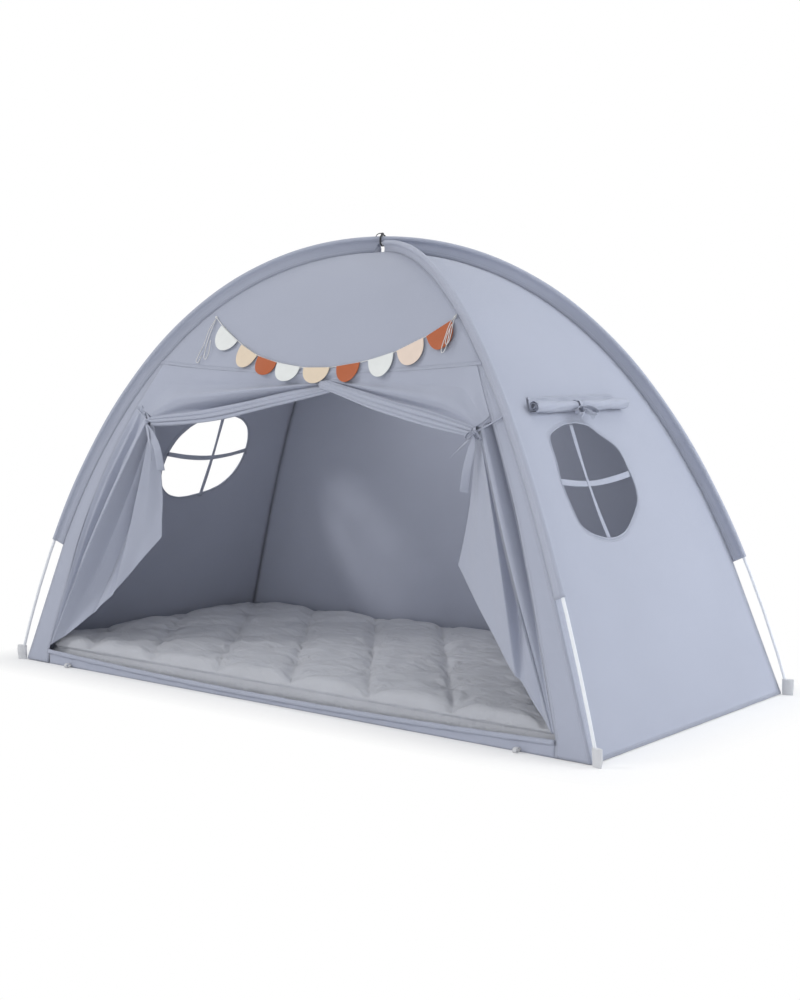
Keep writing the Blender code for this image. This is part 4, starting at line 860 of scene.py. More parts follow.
def pocket(context, name, x_side, y_side):
    """A folded pocket, pinched at its foot and full at its mouth, along the pole's end."""
    low, high = cad_box("corner_pocket_" + name)
    foot = ARCH.line[0] * np.array([x_side, y_side, 0])
    out = unit((ARCH.line[0] - ARCH.line[20]) * np.array([x_side, y_side, 0]))
    across = np.array([-out[1], out[0], 0.0])
    ahead, behind = 0.012, 0.0185
    long = ahead + behind
    deselect()
    bpy.ops.mesh.primitive_cube_add(size=1, location=(0, 0, 0))
    piece = context.active_object
    piece.name = name + "_pocket"
    edit_mesh(piece, (bpy.ops.mesh.subdivide, {"number_cuts": 5}))
    for vertex in piece.data.vertices:
        o, a, z = vertex.co
        share = z + 0.5
        pinch = 1 - 0.30 * ease(1 - share * 3) - 0.12 * ease((share - 0.75) * 4) * abs(2 * o)
        bulge = 1 + 0.20 * math.cos(math.pi * o) * ease(share * 1.4)
        depth = 0.0105 * (0.30 + 0.70 * ease((0.5 - abs(o)) * 2.6 + 0.25)) * bulge * pinch
        sway = 0.0010 * math.sin(7 * share + x_side + 2 * y_side)
        reach = ahead - long / 2 + o * long * (1 - 0.10 * ease(1 - share * 2.2))
        spot = foot + out * reach + across * (2 * a * depth / 2 * 1.1 + sway)
        vertex.co = (spot[0], spot[1], low[2] + (high[2] - low[2]) * share)
    edit_mesh(piece, (bpy.ops.mesh.normals_make_consistent, {"inside": False}),
              (bpy.ops.uv.cube_project, {"cube_size": 1.0, "scale_to_bounds": False}))
    bevel_edges(piece, 0.0012, 40)
    rounded = piece.modifiers.new("Smooth", "SUBSURF")
    rounded.levels = rounded.render_levels = 1
    return shade_smooth(apply_all(piece))


class PLAYTENT_OT_pockets(bpy.types.Operator):
    """Folded webbing pockets that hold the pole ends"""

    bl_idname = "play_tent.pockets"
    bl_label = "Corner pockets"

    def execute(self, context):
        for name, x_side, y_side in (("front_left", -1, -1), ("front_right", 1, -1),
                                     ("back_left", -1, 1), ("back_right", 1, 1)):
            dress(pocket(context, name, x_side, y_side), "webbing", replaces=["corner_pocket_" + name])
        return {"FINISHED"}


# ---------------------------------------------------------------- walls

# Half the length of the transom, at the door's upper corners
TRANSOM_END = seam_x(TRANSOM) - MARGIN_TOP


def transom_height(x):
    return TRANSOM - TRANSOM_SAG * np.clip(1 - (np.asarray(x) / TRANSOM_END) ** 2, 0, 1)


def door_edge(height):
    """Half the door's width at a height, from the sill past the tie to the transom's ends."""
    height = np.asarray(height, float)
    share = (height - DOOR_FOOT) / (TIE_HEIGHT - DOOR_FOOT)
    seam = np.interp(height, ARCH.seam[:, 2], ARCH.seam[:, 0])
    lower = seam - MARGIN_FOOT - (MARGIN_TIE - MARGIN_FOOT) * share
    at_tie = seam_x(TIE_HEIGHT) - MARGIN_TIE
    upper = at_tie + (TRANSOM_END - at_tie) * (height - TIE_HEIGHT) / TIE_DROP
    return np.where(height <= TIE_HEIGHT, lower, upper)


def sewn_span(kind, arc):
    """Half the width of a wall's cloth at a place up its seam."""
    return half_span(kind, arc) - EDGE_INSET


def front_cloth():
    """The front wall's three cloths: the one above the door, and the strips at its left and right."""
    columns, rows = 150, 44
    share = np.linspace(-1, 1, columns)[None].repeat(rows, 0)
    start = ARCH.arc_of(transom_height(share * seam_x(TRANSOM)))
    arcs = start + (ARCH.length - start) * np.linspace(0, 1, rows)[:, None]
    across = share * sewn_span("front", arcs)
    points = wall_point("front", across, arcs)
    gap = np.minimum(half_span("front", arcs) - np.abs(across), (arcs - start) + 0.001)
    pieces = [grid_piece("front_upper_cloth", points, np.stack([across, arcs], -1), gap=gap, run=across + arcs)]
    columns, rows = 12, 110
    for side in (-1, 1):
        arcs = np.linspace(0, ARCH.arc_of(TRANSOM) - 0.0006, rows)[:, None].repeat(columns, 1)
        heights = np.interp(arcs, ARCH.arc, ARCH.seam[:, 2])
        outer = sewn_span("front", arcs)
        inner = np.minimum(door_edge(np.maximum(heights, DOOR_FOOT)), outer - 0.004)
        across = side * (inner + (outer - inner) * np.linspace(0, 1, columns)[None])
        points = wall_point("front", across, arcs)
        gap = np.minimum(np.abs(across) - inner, outer - np.abs(across)) + 0.001
        uv = np.stack([across, arcs], -1)
        pieces.append(grid_piece("front_strip", points, uv, flip=side < 0, gap=gap, run=arcs))
    return pieces


def back_cloth():
    columns, rows = 160, 110
    arcs = np.linspace(0, ARCH.length, rows)[:, None].repeat(columns, 1)
    across = np.linspace(-1, 1, columns)[None] * sewn_span("back", arcs)
    gap = np.minimum(half_span("back", arcs) - np.abs(across), arcs + 0.0015)
    uv = np.stack([across, arcs], -1)
    points = wall_point("back", across, arcs)
    return grid_piece("back_wall_cloth", points, uv, flip=True, gap=gap, run=arcs + across * 0.5)


# The right window's edge as (y, height), read off the photograph. The left one is a rounded box.
RIGHT_WINDOW = (
    (-0.061, 0.729), (-0.120, 0.725), (-0.186, 0.708), (-0.209, 0.686), (-0.218, 0.650), (-0.232, 0.602),
    (-0.235, 0.567), (-0.231, 0.515), (-0.219, 0.489), (-0.172, 0.467), (-0.116, 0.456), (-0.061, 0.461),
    (-0.015, 0.479), (0.045, 0.515), (0.070, 0.537), (0.086, 0.573), (0.087, 0.608), (0.082, 0.657),
    (0.057, 0.680), (0.022, 0.700), (-0.005, 0.720))
WINDOW_MIDDLES = {-1: (0.040, 0.587), 1: (-0.074, 0.592)}
LEFT_WINDOW_HALVES, LEFT_WINDOW_POWER = (0.165, 0.128), 2.35


def around(points, middle):
    """The angles and distances of flat points from a middle, in order of angle."""
    offset = points - middle
    angle = np.arctan2(*offset.T[::-1])
    order = np.argsort(angle)
    return angle[order], np.linalg.norm(offset, axis=1)[order]


def window_ring(side, inset=0.0, count=128):
    """The window's edge as (y, height) points, the right one as its cloth has sagged out of round."""
    middle = np.array(WINDOW_MIDDLES[side])
    turn = np.linspace(0, 2 * math.pi, count, endpoint=False)
    if side > 0:
        closed = np.array(RIGHT_WINDOW + RIGHT_WINDOW[:3])
        fine = smooth_line(np.column_stack([closed, np.zeros(len(closed))]), 900)[:, :2]
        radius = np.interp((turn + math.pi) % (2 * math.pi) - math.pi, *around(fine, middle), period=2 * math.pi)
        for _ in range(3):
            radius = (np.roll(radius, 1) + 2 * radius + np.roll(radius, -1)) / 4
    else:
        wide, tall = LEFT_WINDOW_HALVES
        power = LEFT_WINDOW_POWER
        radius = (np.abs(np.cos(turn) / wide) ** power + np.abs(np.sin(turn) / tall) ** power) ** (-1 / power)
        radius = radius * (1 + 0.035 * np.cos(2 * turn - 1.2) + 0.02 * np.cos(3 * turn + 0.6))
    return middle + (radius - inset)[:, None] * np.stack([np.cos(turn), np.sin(turn)], -1)


def side_cloth(kind):
    """A side wall's cloth, in rings that spread from the window's edge to the wall's own edges."""
    side = 1 if kind == "right" else -1
    middle = WINDOW_MIDDLES[side]
    hole = window_ring(side, count=256)
    centre = np.array([middle[0], float(ARCH.arc_of(middle[1]))])
    hole = np.column_stack([hole[:, 0], ARCH.arc_of(hole[:, 1])])
    arcs = np.linspace(0.0, ARCH.length, 500)
    span = sewn_span(kind, arcs)
    foot = np.column_stack([np.linspace(-span[0], span[0], 200), np.zeros(200)])
    rim = np.vstack([foot, np.column_stack([span, arcs])[1:], np.column_stack([-span, arcs])[::-1][1:-1]])
    corners = [math.atan2(-centre[1], sign * span[0] - centre[0]) for sign in (-1, 1)]
    crown = math.atan2(ARCH.length - centre[1], -centre[0])
    turn = np.linspace(-math.pi, math.pi, 256, endpoint=False)
    for corner in [*corners, crown]:
        turn[np.argmin(np.abs(turn - corner))] = corner
    outer = np.interp(turn, *around(rim, centre), period=2 * math.pi)
    inner = np.interp(turn, *around(hole, centre), period=2 * math.pi)
    share = (np.linspace(0, 1, 52) ** 1.15)[:, None]
    reach = inner + (outer - inner) * share
    arc = np.clip(centre[1] + reach * np.sin(turn), 0, ARCH.length)
    across = np.clip(centre[0] + reach * np.cos(turn), -sewn_span(kind, arc), sewn_span(kind, arc))
    points = wall_point(kind, across, arc)
    gap = np.minimum(np.minimum(half_span(kind, arc) - np.abs(across), arc + 0.0015), (reach - inner) + 0.001)
    run = np.where(gap < 0.02, arc + across * 0.7, reach)
    uv = np.stack([across, arc], -1)
    return grid_piece(kind + "_wall_cloth", points, uv, ring=True, gap=gap, run=run, flip=kind == "right")


def seam_allowance():
    """The turned-in edge of the walls along each corner seam, seen from inside as a narrow fin."""
    pieces = []
    for count, (x_side, y_side) in enumerate(((-1, -1), (1, -1), (-1, 1), (1, 1))):
        arcs = np.linspace(0.02, ARCH.length - 0.05, 130)
        seam, slope = ARCH.at(ARCH.seam, arcs), ARCH.at(ARCH.slope, arcs)
        level = np.zeros(len(arcs))
        inwards = unit(np.stack([-slope[:, 2], level, slope[:, 0]], -1)
                       + np.stack([level, -slope[:, 2], slope[:, 1]], -1))
        wave = 0.0012 * ripples(arcs, 0, 0.05, 40 + count)
        rows = []
        for share in (0.0, 0.35, 0.7, 1.0):
            spot = seam + inwards * (0.0022 + 0.0085 * share)
            spot[:, 0] += wave * share
            rows.append(spot * np.array([x_side, y_side, 1]))
        uv = np.stack(np.broadcast_arrays(arcs[None], np.array([0.0, 0.003, 0.006, 0.0085])[:, None]), -1)
        pieces.append(thicken(grid_piece("seam_fin", np.array(rows), uv), 0.0016, 0.0))
    return join(pieces, "seam_allowances")


class PLAYTENT_OT_walls(bpy.types.Operator):
    """The four walls, with their soft waves, sewn edges, door and window holes"""

    bl_idname = "play_tent.walls"
    bl_label = "Walls"

    def execute(self, context):
        thick = sizes().cloth
        upper, *strips = [thicken(piece, thick) for piece in front_cloth()]
        dress(upper, "cloth", replaces=["front_wall"])
        for side, strip in zip(("left", "right"), strips):
            strip.name = side + "_front_strip"
            dress(strip, "cloth")
        pieces = {"back": thicken(back_cloth(), thick)}
        for kind in ("left", "right"):
            pieces[kind] = thicken(side_cloth(kind), thick)
        fins = seam_allowance()
        # The fins take the darker lining colour, which paints the shade along the inner corner seams.
        dress(fins, "lining")
        for kind, piece in pieces.items():
            dress(piece, "cloth", replaces=[kind + "_wall"])
            2 * float(half_span(kind, 0.0))
            [fins] if kind == "back" else []
        return {"FINISHED"}


# ---------------------------------------------------------------- bands, curtains and ties


# Half of a band's section, as shares of its width and thickness. The other half mirrors it.
BAND_HALF = ((-0.5, -0.25), (-0.46, -0.5), (-0.2, -0.5), (0.2, -0.5), (0.46, -0.5), (0.5, -0.25))
BAND = BAND_HALF + tuple((-a, -b) for a, b in BAND_HALF)


def ribbon(name, path, wide_axes, width, thickness):
    """A woven band with rounded edges along a line, with a width and a width direction for each point."""
    path = np.asarray(path, float)
    count, sides = len(path), len(BAND)
    tangent = unit(np.gradient(path, axis=0))
    wide = np.broadcast_to(np.asarray(wide_axes, float), (count, 3))
    wide = unit(wide - (wide * tangent).sum(-1, keepdims=True) * tangent)
    over = np.cross(tangent, wide)
    width = np.broadcast_to(width, (count,))
    points = np.array([[path[row] + wide[row] * a * width[row] + over[row] * b * thickness for a, b in BAND]
                       for row in range(count)])
    mean = float(np.mean(width))
    uv = np.array([[(run, a * mean + b * thickness) for a, b in BAND] for run in lengths_along(path)])
    piece = mesh_piece(name, points, grid_faces(count, sides, ring=True) + end_caps(count, sides), uv)
    return weld(piece, 0.000001)


def along_line(count, places, values):
    """A value for each of a line's points, given at a few shares of its length."""
    return np.interp(np.linspace(0, 1, count), places, values)


def knot_wrap(name, centre, radius, axis, width, turns, thickness):
    """A short band wound round a knot."""
    axis = unit(axis)
    side = unit(np.cross(axis, (0.31, 0.2, 0.93)))
    other = np.cross(axis, side)
    angles = np.linspace(0, 2 * math.pi * turns, int(30 * turns))
    rise = (angles / (2 * math.pi * turns) - 0.5) * width * 0.35
    path = [centre + (side * math.cos(a) + other * math.sin(a)) * radius + axis * b for a, b in zip(angles, rise)]
    return ribbon(name, path, axis, width, thickness)


# The gathered cloth's half height and half depth at a knot, and how far a knot's middle stands off the wall
NECK, KNOT_OUT = 0.011, 0.010
# Places on the front as (half width, height): the knots, and where the sashes start
KNOTS = {-1: (0.537, 0.7075), 1: (0.592, 0.7120)}
SASH_ENDS = {-1: (0.611, 0.7440), 1: (0.659, 0.7580)}
CURTAIN_CLOTH = 0.0011

# Each swag's own form: where it starts, how far its rope droops and lies back at its start, how far the
# cloth above the rope stands out, how deep the groove over the rope is, and how far its start is set back
SWAGS = {
    -1: {"start": -0.078, "droop": 0.011, "recess": 0.024, "bulge": 0.023, "groove": 2.4, "set_back": 0.0035},
    1: {"start": 0.0565, "droop": 0.003, "recess": 0.004, "bulge": 0.007, "groove": 0.7, "set_back": 0.0},
}
SWAG_COLUMNS, SWAG_PANEL_ROWS, SWAG_ROPE_ROWS = 190, 46, 84
# The swag's rope at full size, and how far it stands over the knot at the swag's start
ROPE_HIGH, ROPE_DEEP, ROPE_RISE = 0.036, 0.022, 0.111


def swag_seam(share, side):
    """The curtain's sewn edge: along the transom, then down the door's side to the tie."""
    start = SWAGS[side]["start"]
    along, down = TRANSOM_END - start, math.hypot(TIE_DROP, float(door_edge(TIE_HEIGHT)) - TRANSOM_END)
    run = share * (along + down)
    if run <= along:
        x = start + run
        return x - 0.001, float(transom_height(x)) - 0.001
    height = TRANSOM - TIE_DROP * (run - along) / down
    return float(door_edge(height)) - 0.001, height - 0.001


def swag_rope(share, side):
    """The middle of the gathered edge, with its half height, half depth and how far the middle lies back."""
    shape = SWAGS[side]
    x = shape["start"] + (KNOTS[side][0] - 0.010 - shape["start"]) * share
    height = KNOTS[side][1] + ROPE_RISE * (1 - share) - shape["droop"] * math.sin(math.pi * share)
    narrow, middle = share ** 6, (1 - share) ** 3
    high = (ROPE_HIGH * (1 - narrow) + 2 * NECK * narrow) / 2 * (1 - 0.4 * middle)
    deep = (ROPE_DEEP * (1 - narrow) + 2 * NECK * narrow) / 2 * (1 - 0.4 * middle)
    return x, height, high, deep, shape["recess"] * middle


def swag_cloth(name, side):
    """The gathered cloth over the door: a pleated panel from the sewn edge, and the rolled rope below it."""
    columns, panel, round_rope = SWAG_COLUMNS, SWAG_PANEL_ROWS, SWAG_ROPE_ROWS
    points = np.empty((columns, panel + round_rope, 3))
    uv = np.empty((columns, panel + round_rope, 2))
    gap = np.full((columns, panel + round_rope), 0.05)
    folds, shape = sizes().rope_folds, SWAGS[side]
    for place, share in enumerate(np.linspace(0, 1, columns)):
        top_x, top_height = swag_seam(share, side)
        rope_x, rope_height, high, deep, recess = swag_rope(share, side)
        narrow, belly = share ** 6, math.sin(math.pi * share)
        grow = float(ease((share - 0.05) / 0.75))
        part = np.linspace(0, 1, panel, endpoint=False)
        x = top_x + (rope_x - top_x) * part
        height = top_height + (rope_height + high * 0.86 - top_height) * part
        fan = 2 * math.pi * (2.15 * part ** 1.3 + 0.35) + 0.5 * math.sin(3.1 * share + side)
        pleats = crests(fan) * 0.0070 * grow * np.sin(math.pi * np.clip(part * 1.02, 0, 1)) ** 0.8
        pleats *= min(1.0, (top_height - rope_height) / 0.10 + 0.18) * part ** 1.2
        small = 0.0010 * ripples(part * 0.1, share * 0.25, 0.06, 21 + side) * np.sin(math.pi * part)
        small -= shape["set_back"] * (1 - share) ** 6
        groove = (1.0 + shape["groove"] * belly) * np.exp(-((part - 0.93) / 0.075) ** 2)
        dip = -deep * (0.75 * np.sin(math.pi * part) + groove) - recess * part
        dip *= 1 - 0.9 * narrow
        bulge = shape["bulge"] * np.exp(-((part - 0.72) / 0.13) ** 2) * belly
        out = dip + pleats * (1 - narrow) + small + bulge + 0.0012 + KNOT_OUT * narrow * part ** 2
        points[place, :panel] = front_point(x, height, out)
        uv[place, :panel] = np.stack([np.full(panel, share * 0.56), -part * 0.10], -1)
        gap[place, :panel] = part * 0.09 + 0.002

        angle = np.linspace(math.radians(62), math.radians(-236), round_rope)
        twist = 1.5 * share * side + 0.45 * math.sin(5 * share + side) + 0.25 * math.sin(11 * share)
        ridges = (crests(folds * angle + twist) - 0.55) * (0.45 + 0.55 * grow)
        swell = 1 + (0.34 - 0.10 * narrow) * ridges + 0.03 * math.sin(17 * share + 2 * side)
        x = rope_x + 0.25 * high * np.sin(angle) * 0.3
        height = rope_height + high * swell * np.sin(angle) + 0.0012 * math.sin(9 * share + side)
        out = KNOT_OUT * narrow - recess + deep * swell * np.cos(angle)
        points[place, panel:] = front_point(x, height, out)
        flat = 0.10 + (angle[0] - angle) * 0.018
        uv[place, panel:] = np.stack([np.full(round_rope, share * 0.56), -flat], -1)
    share = np.linspace(0, 1, panel)[None, :, None]
    for _ in range(60):
        eased = points[:, :panel].copy()
        eased[1:-1] = (points[:-2, :panel] + 2 * points[1:-1, :panel] + points[2:, :panel]) / 4
        points[:, :panel] += (eased - points[:, :panel]) * ease(share / 0.25) * ease((1 - share) / 0.15)
    piece = grid_piece(name, mirror_points(points, side), uv, flip=side > 0, gap=gap, run=uv[..., 0])
    return thicken(piece, CURTAIN_CLOTH, 0.0)


def ridge_line(side):
    """The fold from the knot to the end of the sill, on which the free cloth swings."""
    high = front_point(KNOTS[side][0] + 0.010, KNOTS[side][1] + 0.001, KNOT_OUT)
    height = DOOR_FOOT + 0.012
    low = front_point(float(door_edge(height)) - 0.006, height)
    return high, low


# Each hanging cloth's own form: how far its top lies over the tie, where its hollow ends, how deep the hollow
# is behind the fold line, and the depth of the small folds beside it
HANGINGS = {
    -1: {"top": 0.014, "panel_edge": 0.54, "hollow": 0.042, "small": 0.010},
    1: {"top": 0.006, "panel_edge": 0.34, "hollow": 0.050, "small": 0.004},
}
HANGING_ROWS, FIXED_COLUMNS, FREE_COLUMNS = 96, 40, 120
# The lower corner of the free edge: its half width and height
FREE_CORNER_X, FREE_CORNER_HEIGHT = 0.512, 0.390


def fixed_folds(side, share, across, wide, spread):
    """How far the cloth between the door's edge and the fold line stands back, at one height."""
    if side < 0:
        valley = 0.024 * ease(share / 0.10) * np.sin(math.pi * np.clip(across * 1.15, 0, 1)) ** 2
        crest = 0.021 * np.exp(-((across - 0.93) / 0.20) ** 2)
    else:
        valley = 0.066 * (1.15 - share) ** 1.5 * np.sin(math.pi * np.clip(across * 1.5, 0, 1)) ** 2
        crest = 0.026 * np.exp(-((across - 0.80) / 0.26) ** 2)
    small = HANGINGS[side]["small"] * crests(2 * math.pi * (2.6 * across + 0.3) + 1.2 * math.sin(2.2 * share))
    small = small * spread * np.sin(math.pi * across) * min(1, wide / 0.07) ** 1.5 * (0.6 + 0.8 * (1 - share))
    return (valley * spread ** 0.45 - crest * spread) * min(1, wide / 0.055) + small


def free_folds(side, share, part, pitch, spread):
    """How far the free cloth stands back at one height, and the wave that its folds follow."""
    panel_edge, hollow = HANGINGS[side]["panel_edge"], HANGINGS[side]["hollow"]
    phase = 2 * math.pi * (2.6 * part + 0.05 * math.sin(5 * share + side)) + 0.5
    folds = crests(phase) * min(sizes().fold, 0.09 * pitch) * (1 - 0.5 * ease((share - 0.3) / 0.5))
    folds *= ease(part / 0.03 + 0.02) * (1 - ease((part - panel_edge + 0.10) / 0.1)) * 0.75
    gorge = hollow * ease((part - 0.02) / 0.10) * (1 - ease((part - panel_edge) / 0.045)) * spread ** 0.8
    gorge += 0.007 * ease((part - panel_edge) / 0.5) * spread
    step = -0.020 * np.exp(-(part / 0.028) ** 2) * spread
    sway = 0.006 * np.sin(math.pi * part) * spread + 0.0016 * ripples(part * 0.3, share * 0.3, 0.09, 60 + side) * share
    free_edge = 0.010 * ease((part - 0.8) / 0.2) * math.sin(math.pi * share)
    return gorge + step - folds + sway + free_edge, phase


def hanging_cloth(name, side):
    """The curtain below its knot, as one cloth: from the door's edge over the ridge to the free edge."""
    high, low = ridge_line(side)
    rows, fixed, free = HANGING_ROWS, FIXED_COLUMNS, FREE_COLUMNS
    top_height = TIE_HEIGHT + HANGINGS[side]["top"]
    down = np.linspace(0, 1, rows)
    plumb = unit((low - high) * np.array([1, 1, 0]))
    corner = high + plumb * (FREE_CORNER_X - high[0]) / plumb[0]
    corner[2] = FREE_CORNER_HEIGHT
    across = np.linspace(0, 1, fixed, endpoint=False)
    part = np.linspace(0, 1, free)
    hem = low + (corner - low) * part[:, None]
    hem[:, 2] -= 0.024 * np.sin(math.pi * part) + 0.0014 * np.sin(2 * math.pi * 2.4 * part + side)
    top = high - np.stack([0.019 * part, 0 * part, 0 * part], -1)
    points = np.empty((rows, fixed + free, 3))
    uv = np.empty((rows, fixed + free, 2))
    gap = np.full((rows, fixed + free), 0.05)
    for row, share in enumerate(down):
        height = top_height - (top_height - low[2]) * share
        edge = front_point(float(door_edge(height)) - 0.0013, height)
        ridge = high + (low - high) * share
        spread = math.sin(math.pi * min(max(share * 0.86 + 0.10, 0), 1.0))
        wide = np.linalg.norm(edge - ridge)
        line = edge + (ridge - edge) * across[:, None]
        line[:, 1] += fixed_folds(side, share, across, wide, spread)
        points[row, :fixed] = line
        uv[row, :fixed] = np.stack([across * 0.12 * (0.15 + share), np.full(fixed, share * 0.65)], -1)
        gap[row, :fixed] = across * wide + 0.001

        bow = share ** (1.0 + 0.12 * np.sin(math.pi * part))
        line = top + (hem - top) * bow[:, None]
        pitch = 0.019 * (1 - share) + 0.34 * share
        back, phase = free_folds(side, share, part, pitch, spread)
        line[:, 1] += back
        line[:, 0] += 0.0008 * np.sin(phase * 0.5 + share * 3) * share
        points[row, fixed:] = line
        uv[row, fixed:] = np.stack([0.14 * (0.15 + share) + part * pitch, np.full(free, share * 0.65)], -1)
        gap[row, fixed:] = (1 - part) * pitch + 0.001
    gap = np.minimum(gap, ((1 - down) * 0.6 + 0.001)[:, None])
    run = uv[..., 1] + uv[..., 0]
    piece = grid_piece(name, mirror_points(points, side), uv, flip=side < 0, gap=gap, run=run)
    thicken(piece, CURTAIN_CLOTH, 0.0)
    middle = (high + low) / 2
    axis = unit(low - high)
    inward = corner - middle
    inward = unit(inward - (inward @ axis) * axis)
    return piece, mirror_points(middle, side), mirror_points(middle + inward * 0.045, side)


class PLAYTENT_OT_curtains(bpy.types.Operator):
    """The two door curtains: swags gathered along the transom, and cloth that fans from each knot to the sill"""

    bl_idname = "play_tent.curtains"
    bl_label = "Curtains"

    def execute(self, context):
        for name, side in SIDES:
            swag = swag_cloth(name + "_swag_cloth", side)
            dress(swag, "plain_cloth", replaces=[name + "_curtain"])
            hanging, start, end = hanging_cloth(name + "_hanging_cloth", side)
            dress(hanging, "plain_cloth", body=None, replaces=[name + "_curtain_free_panel"])
            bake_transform(hanging)
        return {"FINISHED"}


# Each tail's width, how much of it is left at its end, and its line on the front as (x, height)
TIE_TAILS = {
    -1: ((0.019, 1.1, ((-0.537, 0.700), (-0.508, 0.668), (-0.474, 0.632), (-0.446, 0.575))),
         (0.012, 0.55, ((-0.535, 0.700), (-0.522, 0.672), (-0.498, 0.630), (-0.486, 0.600)))),
    1: ((0.009, 0.55, ((0.592, 0.703), (0.576, 0.690), (0.556, 0.668), (0.533, 0.646))),
        (0.019, 1.1, ((0.593, 0.700), (0.592, 0.668), (0.590, 0.622), (0.590, 0.570)))),
}
BOW_TURN = np.linspace(0.25, 2 * math.pi - 0.25, 34)


def tie_tail(side, count, front):
    """One loose end of a sash, from the front of its knot."""
    tail_width, left_over, tail = TIE_TAILS[side][count]
    spots = [front_point(x, height, 0.017 + 0.008 * min(step, 2) / 2 + 0.003 * count)
             for step, (x, height) in enumerate(tail)]
    spots[0] = front + np.array([0, -0.001, -0.003])
    share = np.linspace(0, 1, 30)
    twist = 0.9 * share * (1 if count else -1) * side
    axes = np.stack([np.cos(twist), np.sin(twist), 0.25 * np.sin(3 * share)], -1)
    width = np.interp(share, [0, 0.25, 1], [0.006, tail_width, tail_width * left_over])
    return ribbon("tail", smooth_line(spots, 30), axes, width, 0.0011)


class PLAYTENT_OT_tie_backs(bpy.types.Operator):
    """The sash from each side of the door round the gathered curtain, with its knot and tails, and a bow on the right
    """

    bl_idname = "play_tent.tie_backs"
    bl_label = "Tie-backs"

    def execute(self, context):
        for name, side in SIDES:
            centre = mirror_points(front_point(*KNOTS[side], KNOT_OUT), side)
            anchor = mirror_points(front_point(*SASH_ENDS[side], 0.0022), side)
            along = unit(anchor - centre)
            upper = np.cross(along, (0, -1, 0))
            path = smooth_line([
                centre + along * 0.004 + np.array([0, -0.0085, 0]),
                centre + (anchor - centre) * 0.35 + np.array([0, -0.0035, -0.001]),
                centre + (anchor - centre) * 0.7 + np.array([0, -0.001, -0.0012]),
                anchor + np.array([0, -0.0004, 0])], 34)
            width = along_line(34, [0, 0.12, 0.5, 1], [0.0060, 0.0046, 0.0036, 0.0046])
            pieces = [ribbon("sash", path, upper, width, 0.0018)]
            if side < 0:
                width = along_line(34, [0, 0.3, 1], [0.018, 0.025, 0.006])
                pieces.append(ribbon("neck_cloth", path + np.array([0, 0.0065, -0.002]), upper, width, 0.0012))
            pieces.append(knot_wrap("neck_wrap", centre, 0.0128, (side * 0.80, 0, 0.6), 0.011, 1.15, 0.0014))
            front = centre + np.array([0, -0.0150, -0.001])
            pieces.append(knot_wrap("knot_wrap", front, 0.0046, (side * 0.35, -0.12, 1.0), 0.0085, 1.6, 0.0016))
            core = [front + np.array([0, 0.002, 0.0045]), front, front + np.array([0, 0.002, -0.0045])]
            pieces.append(tube("knot_core", smooth_line(core, 9), 0.0040, 12))
            pieces += [tie_tail(side, count, front) for count in range(2)]
            for lean, size in ((-1, 0.016), (1, 0.019)) if side > 0 else ():
                loop = [front + np.array([
                    lean * size * (1 - math.cos(a)) * 0.62,
                    -0.004 - 0.003 * math.sin(a / 2),
                    -size * 0.55 * (1 - math.cos(a)) * 0.7 + size * 0.42 * math.sin(a)]) for a in BOW_TURN]
                pieces.append(ribbon("bow", loop, (0, -1, 0.15), 0.0075, 0.0009))
            dress(join(pieces, name + "_sash"), "plain_cloth", replaces=[name + "_tie_back"])
        return {"FINISHED"}


# ---------------------------------------------------------------- windows and their covers


def side_frame(side, height):
    """A side wall's outward and upward directions at a height."""
    step = 0.004
    rise = unit(np.array([seam_x(height + step) - seam_x(height - step), 0, 2 * step]))
    return mirror_points([rise[2], 0, -rise[0]], side), mirror_points(rise, side)


def side_spot(side, y, height, out=0.0):
    return on_wall("right" if side > 0 else "left", y, ARCH.arc_of(height), out)


# Each window's upright and level strap, as (y, height) points
WINDOW_STRAPS = {
    -1: (((0.049, 0.7135), (0.058, 0.65), (0.064, 0.587), (0.069, 0.52), (0.071, 0.4600)),
         ((-0.124, 0.603), (-0.04, 0.591), (0.045, 0.586), (0.13, 0.590), (0.204, 0.600))),
    1: (((-0.077, 0.7265), (-0.096, 0.66), (-0.109, 0.59), (-0.119, 0.52), (-0.121, 0.4565)),
        ((-0.2335, 0.598), (-0.15, 0.590), (-0.07, 0.588), (0.01, 0.592), (0.0865, 0.599))),
}
STRAP_WIDTHS, STRAP_SAG, STRAP_POINTS, RING_POINTS = (0.0120, 0.0150), (0.0, 0.003, 0.005, 0.003, 0.0), 40, 150


